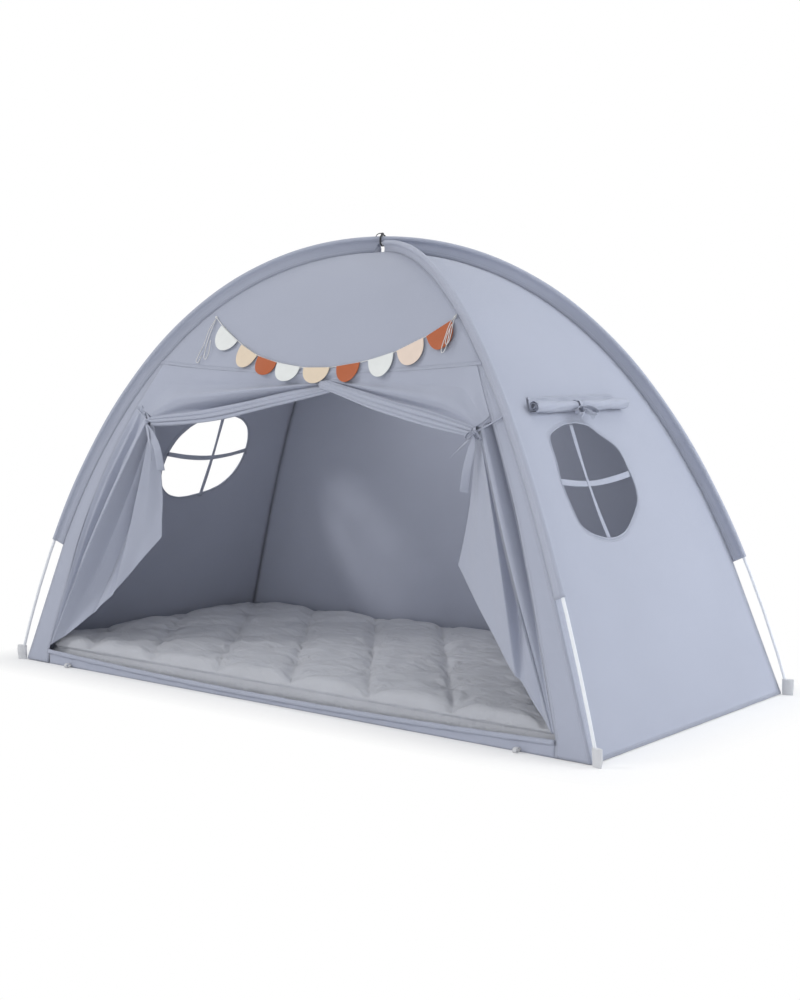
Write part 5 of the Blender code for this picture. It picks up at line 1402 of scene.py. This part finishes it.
class PLAYTENT_OT_windows(bpy.types.Operator):
    """Piped window edges with their two crossed straps"""

    bl_idname = "play_tent.windows"
    bl_label = "Windows"

    def execute(self, context):
        for name, side in SIDES:
            ring = window_ring(side, inset=0.0008, count=RING_POINTS)
            outer = window_ring(side, inset=-0.0072, count=RING_POINTS)
            path = wall_point(name, ring[:, 0], ARCH.arc_of(ring[:, 1]), -0.0004)
            radius = 0.0020 + 0.0002 * np.sin(np.linspace(0, 40 * math.pi, RING_POINTS))
            pieces = [tube("piping", path, radius, 10, closed=True)]
            tape, inside = (wall_point(name, edge[:, 0], ARCH.arc_of(edge[:, 1]), -0.0022) for edge in (outer, ring))
            tape, inside = (np.vstack([line, line[:1]]) for line in (tape, inside))
            dress(ribbon(name + "_window_facing", tape, inside - tape, 0.008, 0.0008), "plain_cloth")
            out, rise = side_frame(side, 0.59)
            sway = out * 0.16 * np.sin(2.3 * math.pi * np.linspace(0, 1, STRAP_POINTS)[:, None] + side)
            for spots, width, axis, behind in zip(
                    WINDOW_STRAPS[side], STRAP_WIDTHS, (np.array([0.0, 1.0, 0.0]), rise), (-0.0026, -0.0040)):
                line = [side_spot(side, y, height, behind - drop) for (y, height), drop in zip(spots, STRAP_SAG)]
                pieces.append(ribbon("strap", smooth_line(line, STRAP_POINTS), axis + sway, width, 0.0012))
            dress(join(pieces, name + "_window_trim"), "plain_cloth", replaces=[name + "_window_frame"])
        return {"FINISHED"}


# A rolled cover: how far its seam stands off the wall, its inner radius, how much each turn adds, and its
# turns, length, and the points round it and in the cloth that leads to its seam
COVER_MARGIN, ROLL_CORE, ROLL_PITCH, ROLL_TURNS, ROLL_LENGTH = 0.0024, 0.004, 0.0042, 2.5, 0.42
ROLL_COLUMNS, ROLL_STEPS, LEAD_STEPS = 92, 150, 16
ROLL_RADIUS = ROLL_CORE + ROLL_PITCH * ROLL_TURNS


def rolled_cover(name, side, middle, tie_y):
    """A cover's spiral of cloth, drawn in at its band, with the lead up to its seam. Also gives its centre."""
    out, rise = side_frame(1, COVER_SEAM)
    seam = side_spot(1, middle, COVER_SEAM, COVER_MARGIN)
    centre = seam + out * ROLL_RADIUS - rise * 0.030
    turned = np.linspace(0, 2 * math.pi * ROLL_TURNS, ROLL_STEPS)
    angle = math.pi + 2 * math.pi * ROLL_TURNS - turned
    share = np.linspace(0, 1, LEAD_STEPS)[:, None]
    points = np.empty((ROLL_COLUMNS, ROLL_STEPS + LEAD_STEPS, 3))
    uv = np.empty((ROLL_COLUMNS, ROLL_STEPS + LEAD_STEPS, 2))
    for column, along in enumerate(np.linspace(-ROLL_LENGTH / 2, ROLL_LENGTH / 2, ROLL_COLUMNS)):
        y = middle + along
        waist = 1 - 0.17 * math.exp(-((y - tie_y) / 0.016) ** 2)
        waist = waist + 0.035 * math.sin(31 * along + side) + 0.02 * math.sin(83 * along)
        tip = 0.0030 * np.sin(1.7 * turned / (2 * math.pi) + side) * (1 - (turned / turned[-1]) ** 2)
        tip = tip * ease(np.abs(along) / (ROLL_LENGTH / 2) * 1.6 - 0.6) * np.sign(along)
        radius = (ROLL_CORE + ROLL_PITCH * turned / (2 * math.pi)) * waist
        radius = radius + 0.0005 * np.sin(3 * angle + 40 * along) + 0.0004 * np.sin(7 * angle - 66 * along)
        sag = 0.0022 * math.sin(math.pi * (along / ROLL_LENGTH + 0.5)) - 0.0016
        wave = 0.004 * ease((along - 0.04) / 0.08) * math.sin(52 * along)
        spot = centre + np.array([0, along, 0]) - rise * (sag + 0.006)
        line = spot + out * (radius * np.cos(angle))[:, None] + rise * (radius * np.sin(angle))[:, None]
        line[:, 1] += tip
        line += rise * (wave * np.clip(np.sin(angle), 0, 1) * (turned / turned[-1]) ** 4)[:, None]
        edge = seam + np.array([0, along * 0.90, 0]) + rise * 0.001 + out * 0.0006
        lead = line[-1] + (edge - line[-1]) * share
        lead += out * (0.0022 * np.sin(math.pi * share) * math.sin(60 * along + 1))
        points[column] = np.vstack([line, lead])
        uv[column, :, 0] = y
        uv[column, :, 1] = lengths_along(points[column])
    gap = np.full(points.shape[:2], 0.05)
    gap[0], gap[-1] = 0.001, 0.001
    gap[1:3], gap[-3:-1] = 0.006, 0.006
    gap[:, -4:] = np.array([0.0045, 0.003, 0.002, 0.001])
    roll = grid_piece(name + "_rolled_cover", mirror_points(points, side), uv, gap=gap, run=uv[..., 0])
    thicken(roll, 0.0012, 0.0)
    dress(roll, "cloth", body=name + "_cover", replaces=[name + "_window_cover"])
    return centre + np.array([0, tie_y - middle, 0]) - rise * 0.007


def cover_band(name, side, centre):
    """The band round a roll, with its knot, bow and tails."""
    out, rise = side_frame(1, COVER_SEAM)
    reach = ROLL_RADIUS * 0.86 + 0.0020
    path = [centre + (out * math.cos(a) + rise * math.sin(a)) * (reach + 0.0004 * math.sin(5 * a))
            for a in np.radians(np.linspace(102, -116, 40))]
    width = along_line(40, [0, 0.5, 0.75, 1], [0.014, 0.012, 0.009, 0.010])
    pieces = [ribbon("band", mirror_points(path, side), (0, 1, 0), width, 0.0012)]
    low = centre + (out * 0.50 - rise * 0.90) * (reach + 0.0045)
    pieces.append(knot_wrap("knot", mirror_points(low, side), 0.0040, (0, 1, 0.3), 0.008, 1.6, 0.0015))
    core = [low + np.array([0, shift, 0]) for shift in (-0.004, -0.002, 0, 0.002, 0.004)]
    pieces.append(tube("knot_core", mirror_points(core, side), 0.0036, 12))
    for lean, size in ((-1, 0.034), (1, 0.040)):
        loop = [low + out * (0.003 + 0.002 * math.sin(a / 2))
                + np.array([0, lean * size * (1 - math.cos(a)) * 0.62, 0])
                - rise * (size * 0.16 * (1 - math.cos(a)) - size * 0.27 * math.sin(a)) for a in BOW_TURN]
        pieces.append(ribbon("bow", mirror_points(loop, side), mirror_points(out, side), 0.0115, 0.0014))
    for lean, reach_down, across in ((-1, 0.030, -0.030), (1, 0.026, 0.036)):
        share = np.linspace(0, 1, 26)
        line = [low + out * (0.004 - 0.006 * s) + np.array([0, across * s + 0.003 * math.sin(5 * s), 0])
                - rise * reach_down * s for s in share]
        twist = lean * 0.8 * share
        axes = np.stack([np.sin(twist) * out[0] * side, np.cos(twist), np.sin(twist) * out[2]], -1)
        width = along_line(26, [0, 0.2, 1], [0.005, 0.0075, 0.008])
        pieces.append(ribbon("tail", mirror_points(line, side), axes, width, 0.0010))
    dress(join(pieces, name + "_cover_band"), "plain_cloth", body=name + "_cover", replaces=[name + "_cover_tie"])


class PLAYTENT_OT_covers(bpy.types.Operator):
    """The window covers, rolled up under their seams, each held by a knotted band"""

    bl_idname = "play_tent.covers"
    bl_label = "Window covers"

    def execute(self, context):
        for (name, side), middle, tie_y in zip(SIDES, (0.02, -0.02), (0.02, -0.04)):
            cover_band(name, side, rolled_cover(name, side, middle, tie_y))
        return {"FINISHED"}


# ---------------------------------------------------------------- bunting


BUNTING_LEFT, BUNTING_RIGHT, BUNTING_HEIGHT, BUNTING_SAG = -0.392, 0.441, 0.992, 0.130
# Each flag's felt, from left to right, where it starts and ends along the string, and how far it hangs
FLAG_SLOTS = ("white", "cream", "rust", "white", "cream", "rust", "white", "peach", "rust")
FLAG_ENDS = (
    (-0.356, -0.276), (-0.255, -0.186), (-0.180, -0.107), (-0.104, -0.020), (-0.006, 0.083),
    (0.106, 0.180), (0.206, 0.281), (0.290, 0.363), (0.370, 0.434))
FLAG_DROPS = (0.053, 0.054, 0.047, 0.047, 0.043, 0.048, 0.057, 0.061, 0.067)
# The line that the string hangs in, as the flags' weight draws it
HUNG = smooth_line([
    (-0.392, 0, 0.997), (-0.356, 0, 0.974), (-0.275, 0, 0.931), (-0.188, 0, 0.893), (-0.108, 0, 0.874),
    (-0.020, 0, 0.862), (0.050, 0, 0.859), (0.120, 0, 0.866), (0.198, 0, 0.877), (0.273, 0, 0.895),
    (0.354, 0, 0.928), (0.423, 0, 0.966), (0.441, 0, 0.982)], 200)
# The string's loose ends, as (x, height) points from its knots
CORD_ENDS = {
    "left_end": ((-0.3935, 0.991), (-0.398, 0.960), (-0.399, 0.922), (-0.408, 0.892), (-0.411, 0.876),
                 (-0.402, 0.871), (-0.395, 0.890)),
    "left_loop": ((-0.3925, 0.991), (-0.389, 0.955), (-0.388, 0.918), (-0.385, 0.888), (-0.377, 0.880),
                  (-0.371, 0.897), (-0.378, 0.932)),
    "right_end": ((0.4415, 0.991), (0.440, 0.965), (0.437, 0.930), (0.436, 0.902), (0.443, 0.893),
                  (0.449, 0.915), (0.445, 0.950)),
    "right_loop": ((0.4425, 0.991), (0.448, 0.970), (0.452, 0.942), (0.452, 0.920), (0.445, 0.914),
                   (0.441, 0.932), (0.446, 0.962)),
}


def string_height(x):
    """The string's height: the even sag of its ends, drawn most of the way to the line that it hangs in."""
    middle, half = (BUNTING_LEFT + BUNTING_RIGHT) / 2, (BUNTING_RIGHT - BUNTING_LEFT) / 2
    even = BUNTING_HEIGHT - BUNTING_SAG * (1 - ((np.asarray(x) - middle) / half) ** 2)
    return 0.15 * even + 0.85 * np.interp(x, HUNG[:, 0], HUNG[:, 2])


def cord_curve(name, path, radius):
    """A free cord as a curve of one open spline."""
    data = bpy.data.curves.new(name, "CURVE")
    data.dimensions = "3D"
    data.bevel_depth, data.bevel_resolution, data.use_fill_caps = radius, 3, True
    spline = data.splines.new("POLY")
    spline.points.add(len(path) - 1)
    for point, place in zip(spline.points, path):
        point.co = (*place, 1)
    return link(bpy.data.objects.new(name, data))


class PLAYTENT_OT_string(bpy.types.Operator):
    """The string that the flags hang on, with its sewn loops and loose ends"""

    bl_idname = "play_tent.string"
    bl_label = "Bunting string"

    def execute(self, context):
        radius = sizes().string / 2
        x = np.linspace(BUNTING_LEFT, BUNTING_RIGHT, 120)
        path = front_point(x, string_height(x), 0.0028 + 0.0004 * np.sin(x * 40))
        line = cord_curve("bunting_cord", path, radius)
        dress(line, "cord_white", replaces=["bunting_string"])
        for name, spots in CORD_ENDS.items():
            clear = 0.010 if name.startswith("right") else 0.004
            end_path = smooth_line([front_point(a, b, 0.0035 + clear * min(step, 1))
                                    for step, (a, b) in enumerate(spots)], 30)
            end = cord_curve(name + "_of_cord", end_path, radius * 0.92)
            dress(end, "cord_white")
        knots = []
        for x in (BUNTING_LEFT, BUNTING_RIGHT):
            centre = front_point(x, float(string_height(x)) + 0.0005, 0.0036)
            loop = [centre + np.array([0.0026 * math.cos(a), 0.0013 * math.sin(a * 0.5) - 0.0006,
                                       0.0026 * math.sin(a)]) for a in np.linspace(0, 4 * math.pi, 56)]
            knots.append(tube("cord_knot", loop, radius * 0.95, 8))
        knots = join(knots, "cord_knots")
        dress(knots, "cord_white")
        return {"FINISHED"}


def flag_threads(axis, along, down, normal, half):
    """The loops of thread that hold a flag to the string."""
    loops = []
    for share in np.linspace(-0.86, 0.86, 7):
        spot = axis + along * share * half
        loop = [spot + down * (0.0002 + 0.0029 * math.sin(a)) + normal * (0.0006 + 0.0031 * math.cos(a))
                + along * 0.0004 * a for a in np.linspace(0, 2 * math.pi, 12, endpoint=False)]
        loops.append(tube("thread", loop, 0.00032, 5))
    return loops


class PLAYTENT_OT_flags(bpy.types.Operator):
    """Nine half-round felt flags, each a little curled"""

    bl_idname = "play_tent.flags"
    bl_label = "Flags"

    def execute(self, context):
        rings, columns = 16, 49
        angle = np.linspace(0, math.pi, columns)[None]
        reach = np.linspace(0, 1, rings)[:, None]
        for count, (finish, (start, end), drop) in enumerate(zip(FLAG_SLOTS, FLAG_ENDS, FLAG_DROPS)):
            name = f"flag_{count + 1}"
            tall = drop * sizes().flag_height / FLAG_DROP
            rng = np.random.default_rng(90 + count)
            left, right = (front_point(a, float(string_height(a)), 0.0032) for a in (start, end))
            axis, along, half = (left + right) / 2, unit(right - left), np.linalg.norm(right - left) / 2
            slope = ARCH.at(ARCH.slope, ARCH.arc_of(axis[2] - tall / 2))
            normal = unit(np.array([0, -slope[2], -slope[1]]))
            along = unit(along - (along @ normal) * normal)
            down = np.cross(along, normal)
            down = down if down[2] < 0 else -down
            across = reach * half * np.cos(angle)
            hang = reach * tall * (0.985 + 0.02 * np.sin(2 * angle + count)) * np.sin(angle) ** 0.85
            curl, skew = rng.uniform(0.0010, 0.0042), rng.uniform(-0.4, 0.4)
            lift = 0.0026 + curl * (hang / tall) ** 2 * (1 + skew * across / half)
            lift = lift + 0.0009 * np.sin(across / half * 2.4 + count) * hang / tall
            points = axis + along * across[..., None] + down * (hang + 0.0012)[..., None]
            points = points + normal * lift[..., None]
            uv = np.stack(np.broadcast_arrays(across, hang), -1)
            felt = grid_piece("felt_" + name, points, uv)
            weld(felt, 0.00001, outwards=False)
            thicken(felt, 0.0015, 0.0)
            bevel_edges(felt, 0.0003, 50)
            shade_smooth(apply_all(felt))
            threads = join(flag_threads(axis, along, down, normal, half), name + "_thread")
            dress(felt, finish, body=name, replaces=[name])
            dress(threads, "cord_white", body=name)
            2 * half
            min(cut_area(felt), 2 * half * tall)
        return {"FINISHED"}


# ---------------------------------------------------------------- floor, mat and small trim


def sill_centre(x):
    x = np.asarray(x, float)
    half = seam_x(DOOR_FOOT) - MARGIN_FOOT
    height = SILL_HEIGHT - SILL_SAG * np.clip(1 - (x / half) ** 2, 0, 1)
    reach = np.interp(SILL_HEIGHT, ARCH.seam[:, 2], ARCH.seam[:, 1])
    return np.stack([x, np.full_like(x, -reach), height], -1)


def rolled_sill(half):
    """The floor sheet's upright front between the door's feet, with its rolled upper edge."""
    riser_points, roll_points, columns = 9, 44, 210
    across = np.linspace(-half, half, columns)
    foot = -np.interp(HEM_HEIGHT, ARCH.seam[:, 2], ARCH.seam[:, 1])
    turn = np.linspace(math.radians(-100), math.radians(420), roll_points)
    climb = np.linspace(0, 1, riser_points, endpoint=False)[:, None]
    rows = []
    for spot, centre in zip(across, sill_centre(across)):
        wave = 0.0010 * math.sin(spot * 43) + 0.0007 * math.sin(spot * 107 + 1)
        radius = np.linspace(1.0, 0.62, roll_points) * (SILL_RADIUS - 0.0006 + 0.0004 * math.sin(spot * 61))
        roll = np.stack([np.full(roll_points, spot), centre[1] - radius * np.cos(turn),
                         centre[2] + radius * np.sin(turn)], -1)
        base = np.array([spot, foot + 0.0035, 0.0016])
        riser = base + (roll[0] - base) * climb
        riser[:, 1] += wave * np.sin(math.pi * climb[:, 0])
        rows.append(np.vstack([riser, roll]))
    points = np.array(rows)
    flat = np.linspace(0, 0.085, points.shape[1])[None]
    uv = np.stack(np.broadcast_arrays(across[:, None], flat), -1)
    gap = np.full(points.shape[:2], 0.05)
    gap[:, 11:14] = np.array([0.0052, 0.0045, 0.0038])
    return thicken(grid_piece("rolled_sill", points, uv, gap=gap, run=uv[..., 0]), 0.0009, 0.0)


def peg_loop(name):
    low, high = cad_box(name + "_peg_loop")
    middle, size = (low + high) / 2, high - low
    turn = np.linspace(0, 2 * math.pi, 40)
    squash = 1 - 0.25 * np.cos(turn) * 0.5
    path = np.stack([
        np.full(40, middle[0]) + 0.0015 * np.sin(turn),
        middle[1] + (size[1] / 2 - 0.001) * np.cos(turn),
        middle[2] + (size[2] / 2 - 0.001) * np.sin(turn) * squash - 0.0005], -1)
    return ribbon(name + "_loop", path, (1, 0, 0), 0.0105, 0.0013)


class PLAYTENT_OT_floor_sheet(bpy.types.Operator):
    """The floor sheet with its turned-up front, rolled sill and the two loops for pegs"""

    bl_idname = "play_tent.floor_sheet"
    bl_label = "Floor sheet"

    def execute(self, context):
        x = np.linspace(-0.977, 0.977, 120)[None].repeat(60, 0)
        y = np.linspace(-0.467, 0.467, 60)[:, None].repeat(120, 1)
        points = np.stack([x, y, 0.0013 + 0.0004 * ripples(x, y, 0.12, 71)], -1)
        sheet = thicken(grid_piece("floor_sheet_cloth", points, np.stack([x, y], -1)), 0.0009)
        dress(sheet, "lining", replaces=["floor_sheet"])

        half = seam_x(DOOR_FOOT) - MARGIN_FOOT - EDGE_INSET
        sill = rolled_sill(half)
        dress(sill, "cloth")
        for name, _ in SIDES:
            dress(peg_loop(name), "webbing", replaces=[name + "_peg_loop"])
        return {"FINISHED"}


# The tufts' spacing along and across the mat, and the first one's place
MAT_PITCH, MAT_ROW, MAT_FIRST = 0.262, 0.162, (-0.742, -0.428)
MAT_CORNER, TUFT_RADIUS, QUICK_STEP = 0.055, 0.0055, 0.02
# The mat's side from its upper edge down: height, how far it stands out, and the depth of its gathers
MAT_SIDE = (
    (0.049, 0.0008, 0.0005), (0.0455, -0.0006, 0.0008), (0.0425, -0.0034, 0.0008), (0.0405, -0.0050, 0.0005),
    (0.0385, -0.0040, 0.0008), (0.0350, -0.0005, 0.0011), (0.0290, 0.0020, 0.0013), (0.0220, 0.0026, 0.0013),
    (0.0140, 0.0018, 0.0012), (0.0080, -0.0004, 0.0009), (0.0030, -0.0040, 0.0005), (0.0006, -0.0100, 0.0))


def mat_creases(x, y):
    """Distances from the two sets of stitch-line creases that cross at the tufts."""
    p, q = (x - MAT_FIRST[0]) / MAT_PITCH, (y - MAT_FIRST[1]) / (2 * MAT_ROW)
    scale = MAT_PITCH * 2 * MAT_ROW / math.hypot(MAT_PITCH, 2 * MAT_ROW)
    one, two = p + q, p - q
    return np.abs(one - np.round(one)) * scale, np.abs(two - np.round(two)) * scale


def mat_rounded(x, y, half_x, half_y, grow=0.0):
    """Points of a box's plan, grown by a distance and drawn in to its rounded corners."""
    a, b = half_x + grow, half_y + grow
    x, y = x * a / half_x, y * b / half_y
    dx, dy = np.abs(x) - (a - MAT_CORNER), np.abs(y) - (b - MAT_CORNER)
    both = (dx > 0) & (dy > 0)
    scale = np.where(both, np.maximum(dx, dy) / (np.hypot(dx, dy) + 1e-12), 1.0)
    return (np.where(both, np.sign(x) * (a - MAT_CORNER + dx * scale), x),
            np.where(both, np.sign(y) * (b - MAT_CORNER + dy * scale), y))


def puff(distance):
    """A puff's rise with the distance from its crease, from 0 to 1."""
    return 1 - (1 - np.clip(distance / 0.062, 0, 1)) ** 2.2


def mat_top(x, y, inner, base, top_z):
    """The mat's upper face: puffs between the creases, wrinkles round the tufts and a rounded edge."""
    one, two = mat_creases(x, y)
    pillow = (puff(one) * puff(two)) ** 0.42
    near = np.hypot(one, two)
    turn = np.arctan2(one - 0.001, two - 0.001)
    pinch = np.exp(-near / 0.030)
    wrinkle = 0.0065 * np.sin(9 * turn + 3 * ripples(x, y, 0.2, 81)) * np.exp(-near / 0.060) * ease(near / 0.02)
    soft = 0.0046 * ripples(x, y, 0.40, 82) + 0.0034 * ripples(x, y, 0.075, 83)
    crown = np.sqrt(np.clip(1 - (1 - np.clip(inner / 0.040, 0, 1)) ** 2, 0, 1))
    rise = 0.052 + base + (top_z - 0.052 - base) * crown
    sunk = (0.0170 * (1 - pillow) + 0.014 * pinch) * crown ** 0.7
    return np.minimum(rise - sunk + (wrinkle + soft - 0.003) * ease(inner / 0.05), top_z)


def band_faces(above, below):
    """Faces between two closed rows of points."""
    count = len(above)
    after = [(place + 1) % count for place in range(count)]
    return [(above[far], above[place], below[place], below[far]) for place, far in enumerate(after)]


def mat_form(half_x, half_y, base):
    """The mat's upper face, gathered side and underside. Gives its points, faces, UVs and the upper face's points."""
    step = sizes().mat_grid
    nu, nv = int(2 * half_x / step) + 1, int(2 * half_y / step) + 1
    top_z = sizes().mat_height + base - 0.0015
    shares = (np.linspace(-1, 1, count) for count in (nu, nv))
    gx, gy = np.meshgrid(*(half * (0.86 * share + 0.14 * np.sin(share * math.pi / 2))
                           for share, half in zip(shares, (half_x, half_y))), indexing="xy")
    x, y = mat_rounded(gx, gy, half_x, half_y)
    inner = np.minimum(half_x - np.abs(gx), half_y - np.abs(gy))
    points = [np.stack([x, y, mat_top(x, y, inner, base, top_z)], -1).reshape(-1, 3)]
    faces = grid_faces(nv, nu)
    rim = [*range(nu), *[row * nu + nu - 1 for row in range(1, nv)],
           *[(nv - 1) * nu + column for column in range(nu - 2, -1, -1)],
           *[row * nu for row in range(nv - 2, 0, -1)]]
    rim_x, rim_y = gx.ravel()[rim], gy.ravel()[rim]
    run = lengths_along(np.column_stack([rim_x, rim_y, 0 * rim_x]))
    gathers = np.sin(2 * math.pi * run / 0.0235 + 1.6 * ripples(run, 0, 0.1, 84))
    slow = ripples(run, 0, 0.16, 85)
    ox = np.where(np.abs(rim_x) > half_x - 0.03, np.sign(rim_x), 0.0)
    oy = np.where(np.abs(rim_y) > half_y - 0.03, np.sign(rim_y), 0.0)
    norm = np.maximum(np.hypot(ox, oy), 1)
    above, start = rim, nu * nv
    for height, grow, depth in MAT_SIDE:
        px, py = mat_rounded(rim_x, rim_y, half_x, half_y, grow)
        shift = depth * gathers + 0.0012 * slow * (grow > -0.01)
        z = base + height + 0.0012 * slow * (0.004 < height < 0.045)
        points.append(np.column_stack([px + ox / norm * shift, py + oy / norm * shift, z]))
        below = list(range(start, start + len(rim)))
        faces += band_faces(above, below)
        above, start = below, start + len(rim)
    under_x, under_y = mat_rounded(gx, gy, half_x, half_y, MAT_SIDE[-1][1])
    points.append(np.column_stack([under_x.ravel(), under_y.ravel(), np.full(nu * nv, base + MAT_SIDE[-1][0])]))
    under = start + len(rim)
    faces += [face[::-1] for face in grid_faces(nv, nu, start=under)]
    faces += band_faces(above, [under + place for place in rim])
    points = np.vstack(points)
    uv = points[:, :2] + np.column_stack([0 * points[:, 0], np.minimum(points[:, 2] - top_z, 0)])
    return points, faces, uv, points[: nu * nv]


def mat_tufts(half_x, half_y, top):
    """A flattened button of cloth at each tuft."""
    tufts = []
    for row in range(6):
        for column in range(8):
            x = MAT_FIRST[0] + MAT_PITCH * (column - 1 + 0.5 * (row % 2))
            y = MAT_FIRST[1] + MAT_ROW * row
            if abs(x) > half_x - 0.06 or abs(y) > half_y - 0.02:
                continue
            z = top[np.argmin(np.hypot(top[:, 0] - x, top[:, 1] - y))][2] + 0.0012
            deselect()
            bpy.ops.mesh.primitive_uv_sphere_add(segments=14, ring_count=8, radius=TUFT_RADIUS, location=(x, y, z))
            tuft = bpy.context.active_object
            bpy.ops.object.transform_apply(location=True, rotation=False, scale=False)
            for vertex in tuft.data.vertices:
                vertex.co.z = z + (vertex.co.z - z) * 0.42
            bpy.ops.object.shade_smooth()
            tuft.data.uv_layers[0].name = "UVMap"
            tufts.append(tuft)
    return join(tufts, "mat_tufts")


class PLAYTENT_OT_mat(bpy.types.Operator):
    """The padded mat, drawn down at its tufts, with a gathered welt round its foot"""

    bl_idname = "play_tent.mat"
    bl_label = "Mat"

    def execute(self, context):
        low, high = cad_box("floor_mat")
        half_x, half_y = (high - low)[:2] / 2 - 0.002
        points, faces, uv, top = mat_form(half_x, half_y, low[2])
        mat = mesh_piece("tufted_mat", points, faces, uv)
        dress(mat, "mat", replaces=["floor_mat"])
        dress(mat_tufts(half_x, half_y, top), "mat")
        return {"FINISHED"}


def crown_patch(context):
    """A square of cloth, a little puckered at its sewn edges."""
    low, high = cad_box("apex_patch")
    deselect()
    bpy.ops.mesh.primitive_plane_add(size=1, location=(0, 0, 0))
    patch = context.active_object
    patch.name = "crown_patch"
    edit_mesh(patch, (bpy.ops.mesh.subdivide, {"number_cuts": 15}))
    span, deep = (high - low)[:2]
    for vertex in patch.data.vertices:
        u, v = vertex.co.x * 2, vertex.co.y * 2
        round_off = 1 - 0.06 * (u * u * v * v)
        pucker = 0.0004 * math.sin(23 * u + 5 * v) * (abs(u) ** 6 + abs(v) ** 6)
        height = (low[2] + high[2]) / 2 - 0.0006 * (1 - u * u) * (1 - v * v) + pucker
        vertex.co = (u * span / 2 * round_off, v * deep / 2 * round_off, height)
    patch.data.uv_layers[0].name = "UVMap"
    return shade_smooth(thicken(patch, 0.0012, 0.0))


def crown_tie():
    """Two turns of cord round the crossing poles, with a knot and two ends on top."""
    over, under, reach = CROWN + CROSSING_RISE, CROWN - CROSSING_RISE, 0.0104
    ring = [(0.0004, reach * 1.10 * math.cos(a), over + reach * math.sin(a)) for a in np.linspace(0, math.pi, 10)]
    ring += [(0.0010, -reach * 1.12, under), (0.0004, -reach / 2, under - 0.0062),
             (-0.0004, reach / 2, under - 0.0062), (-0.001, reach * 1.12, under)]
    first = smooth_line(ring + ring[:1], 90)[:-1]
    pieces = [tube("tie_loop", first, 0.0015, 10, closed=True),
              tube("tie_loop", first + np.array([0.0029, 0, 0.0002]), 0.0014, 10, closed=True)]
    top = np.array([0.0012, -0.0010, over + reach + 0.0024])
    knot = [top + np.array([0.0030 * math.cos(a), 0.0016 * math.sin(a / 2), 0.0024 * math.sin(a)])
            for a in np.linspace(0, 3.6 * math.pi, 60)]
    pieces.append(tube("tie_knot", knot, 0.0015, 8))
    for lean in (-1, 1):
        steps = ((0, 0, 0), (0.005, -0.004, 0.002), (0.010, -0.010, -0.001), (0.0115, -0.0145, -0.007))
        spots = [top + np.array([x * lean, y, z]) for x, y, z in steps]
        pieces.append(tube("tie_end", smooth_line(spots, 22), np.linspace(0.0013, 0.0010, 22), 8))
    return join(pieces, "crown_tie")


class PLAYTENT_OT_crown(bpy.types.Operator):
    """The patch under the crown and the dark tie round the crossing poles"""

    bl_idname = "play_tent.crown"
    bl_label = "Crown tie and patch"

    def execute(self, context):
        dress(crown_patch(context), "lining", replaces=["apex_patch"])
        dress(crown_tie(), "tie_dark", replaces=["apex_tie"])
        return {"FINISHED"}


class PLAYTENT_OT_transom_seam(bpy.types.Operator):
    """The felled seam across the front over the door"""

    bl_idname = "play_tent.transom_seam"
    bl_label = "Transom seam"

    def execute(self, context):
        end = seam_x(TRANSOM) - 0.003
        x = np.linspace(-end, end, 220)
        arc = ARCH.arc_of(transom_height(x) + 0.0035)
        slope = ARCH.at(ARCH.slope, arc)
        axes = np.stack([0 * x, -slope[:, 1], slope[:, 2]], -1)
        width = 0.0085 + 0.0004 * np.sin(x * 90)
        dress(ribbon("transom_seam", wall_point("front", x, arc, 0.0007), axes, width, 0.0011), "cloth")
        return {"FINISHED"}


STEPS = [
    PLAYTENT_OT_stage,
    PLAYTENT_OT_poles,
    PLAYTENT_OT_sleeves,
    PLAYTENT_OT_pockets,
    PLAYTENT_OT_walls,
    PLAYTENT_OT_transom_seam,
    PLAYTENT_OT_curtains,
    PLAYTENT_OT_tie_backs,
    PLAYTENT_OT_windows,
    PLAYTENT_OT_covers,
    PLAYTENT_OT_string,
    PLAYTENT_OT_flags,
    PLAYTENT_OT_floor_sheet,
    PLAYTENT_OT_mat,
    PLAYTENT_OT_crown,
]


class PLAYTENT_PT_panel(bpy.types.Panel):
    """Lists the steps that build the tent, with its sizes and colours"""

    bl_label = "Play Tent"
    bl_idname = "PLAYTENT_PT_panel"
    bl_space_type = "VIEW_3D"
    bl_region_type = "UI"
    bl_category = "Play Tent"

    def draw(self, context):
        layout = self.layout
        for step in STEPS:
            layout.operator(step.bl_idname)
        for group in (context.scene.play_tent_sizes, context.scene.play_tent_colours):
            box = layout.box()
            for title in group.bl_rna.properties.keys():
                if title not in ("rna_type", "name"):
                    box.prop(group, title)


CLASSES = [PlayTentSizes, PlayTentColours, *STEPS, PLAYTENT_PT_panel]


def register():
    for item in CLASSES:
        bpy.utils.register_class(item)
    bpy.types.Scene.play_tent_sizes = PointerProperty(type=PlayTentSizes)
    bpy.types.Scene.play_tent_colours = PointerProperty(type=PlayTentColours)


def unregister():
    del bpy.types.Scene.play_tent_colours
    del bpy.types.Scene.play_tent_sizes
    for item in reversed(CLASSES):
        bpy.utils.unregister_class(item)


def main():
    register()
    for step in STEPS:
        group, name = step.bl_idname.split(".")
        getattr(getattr(bpy.ops, group), name)()
    bpy.context.view_layer.update()


if __name__ == "__main__":
    main()
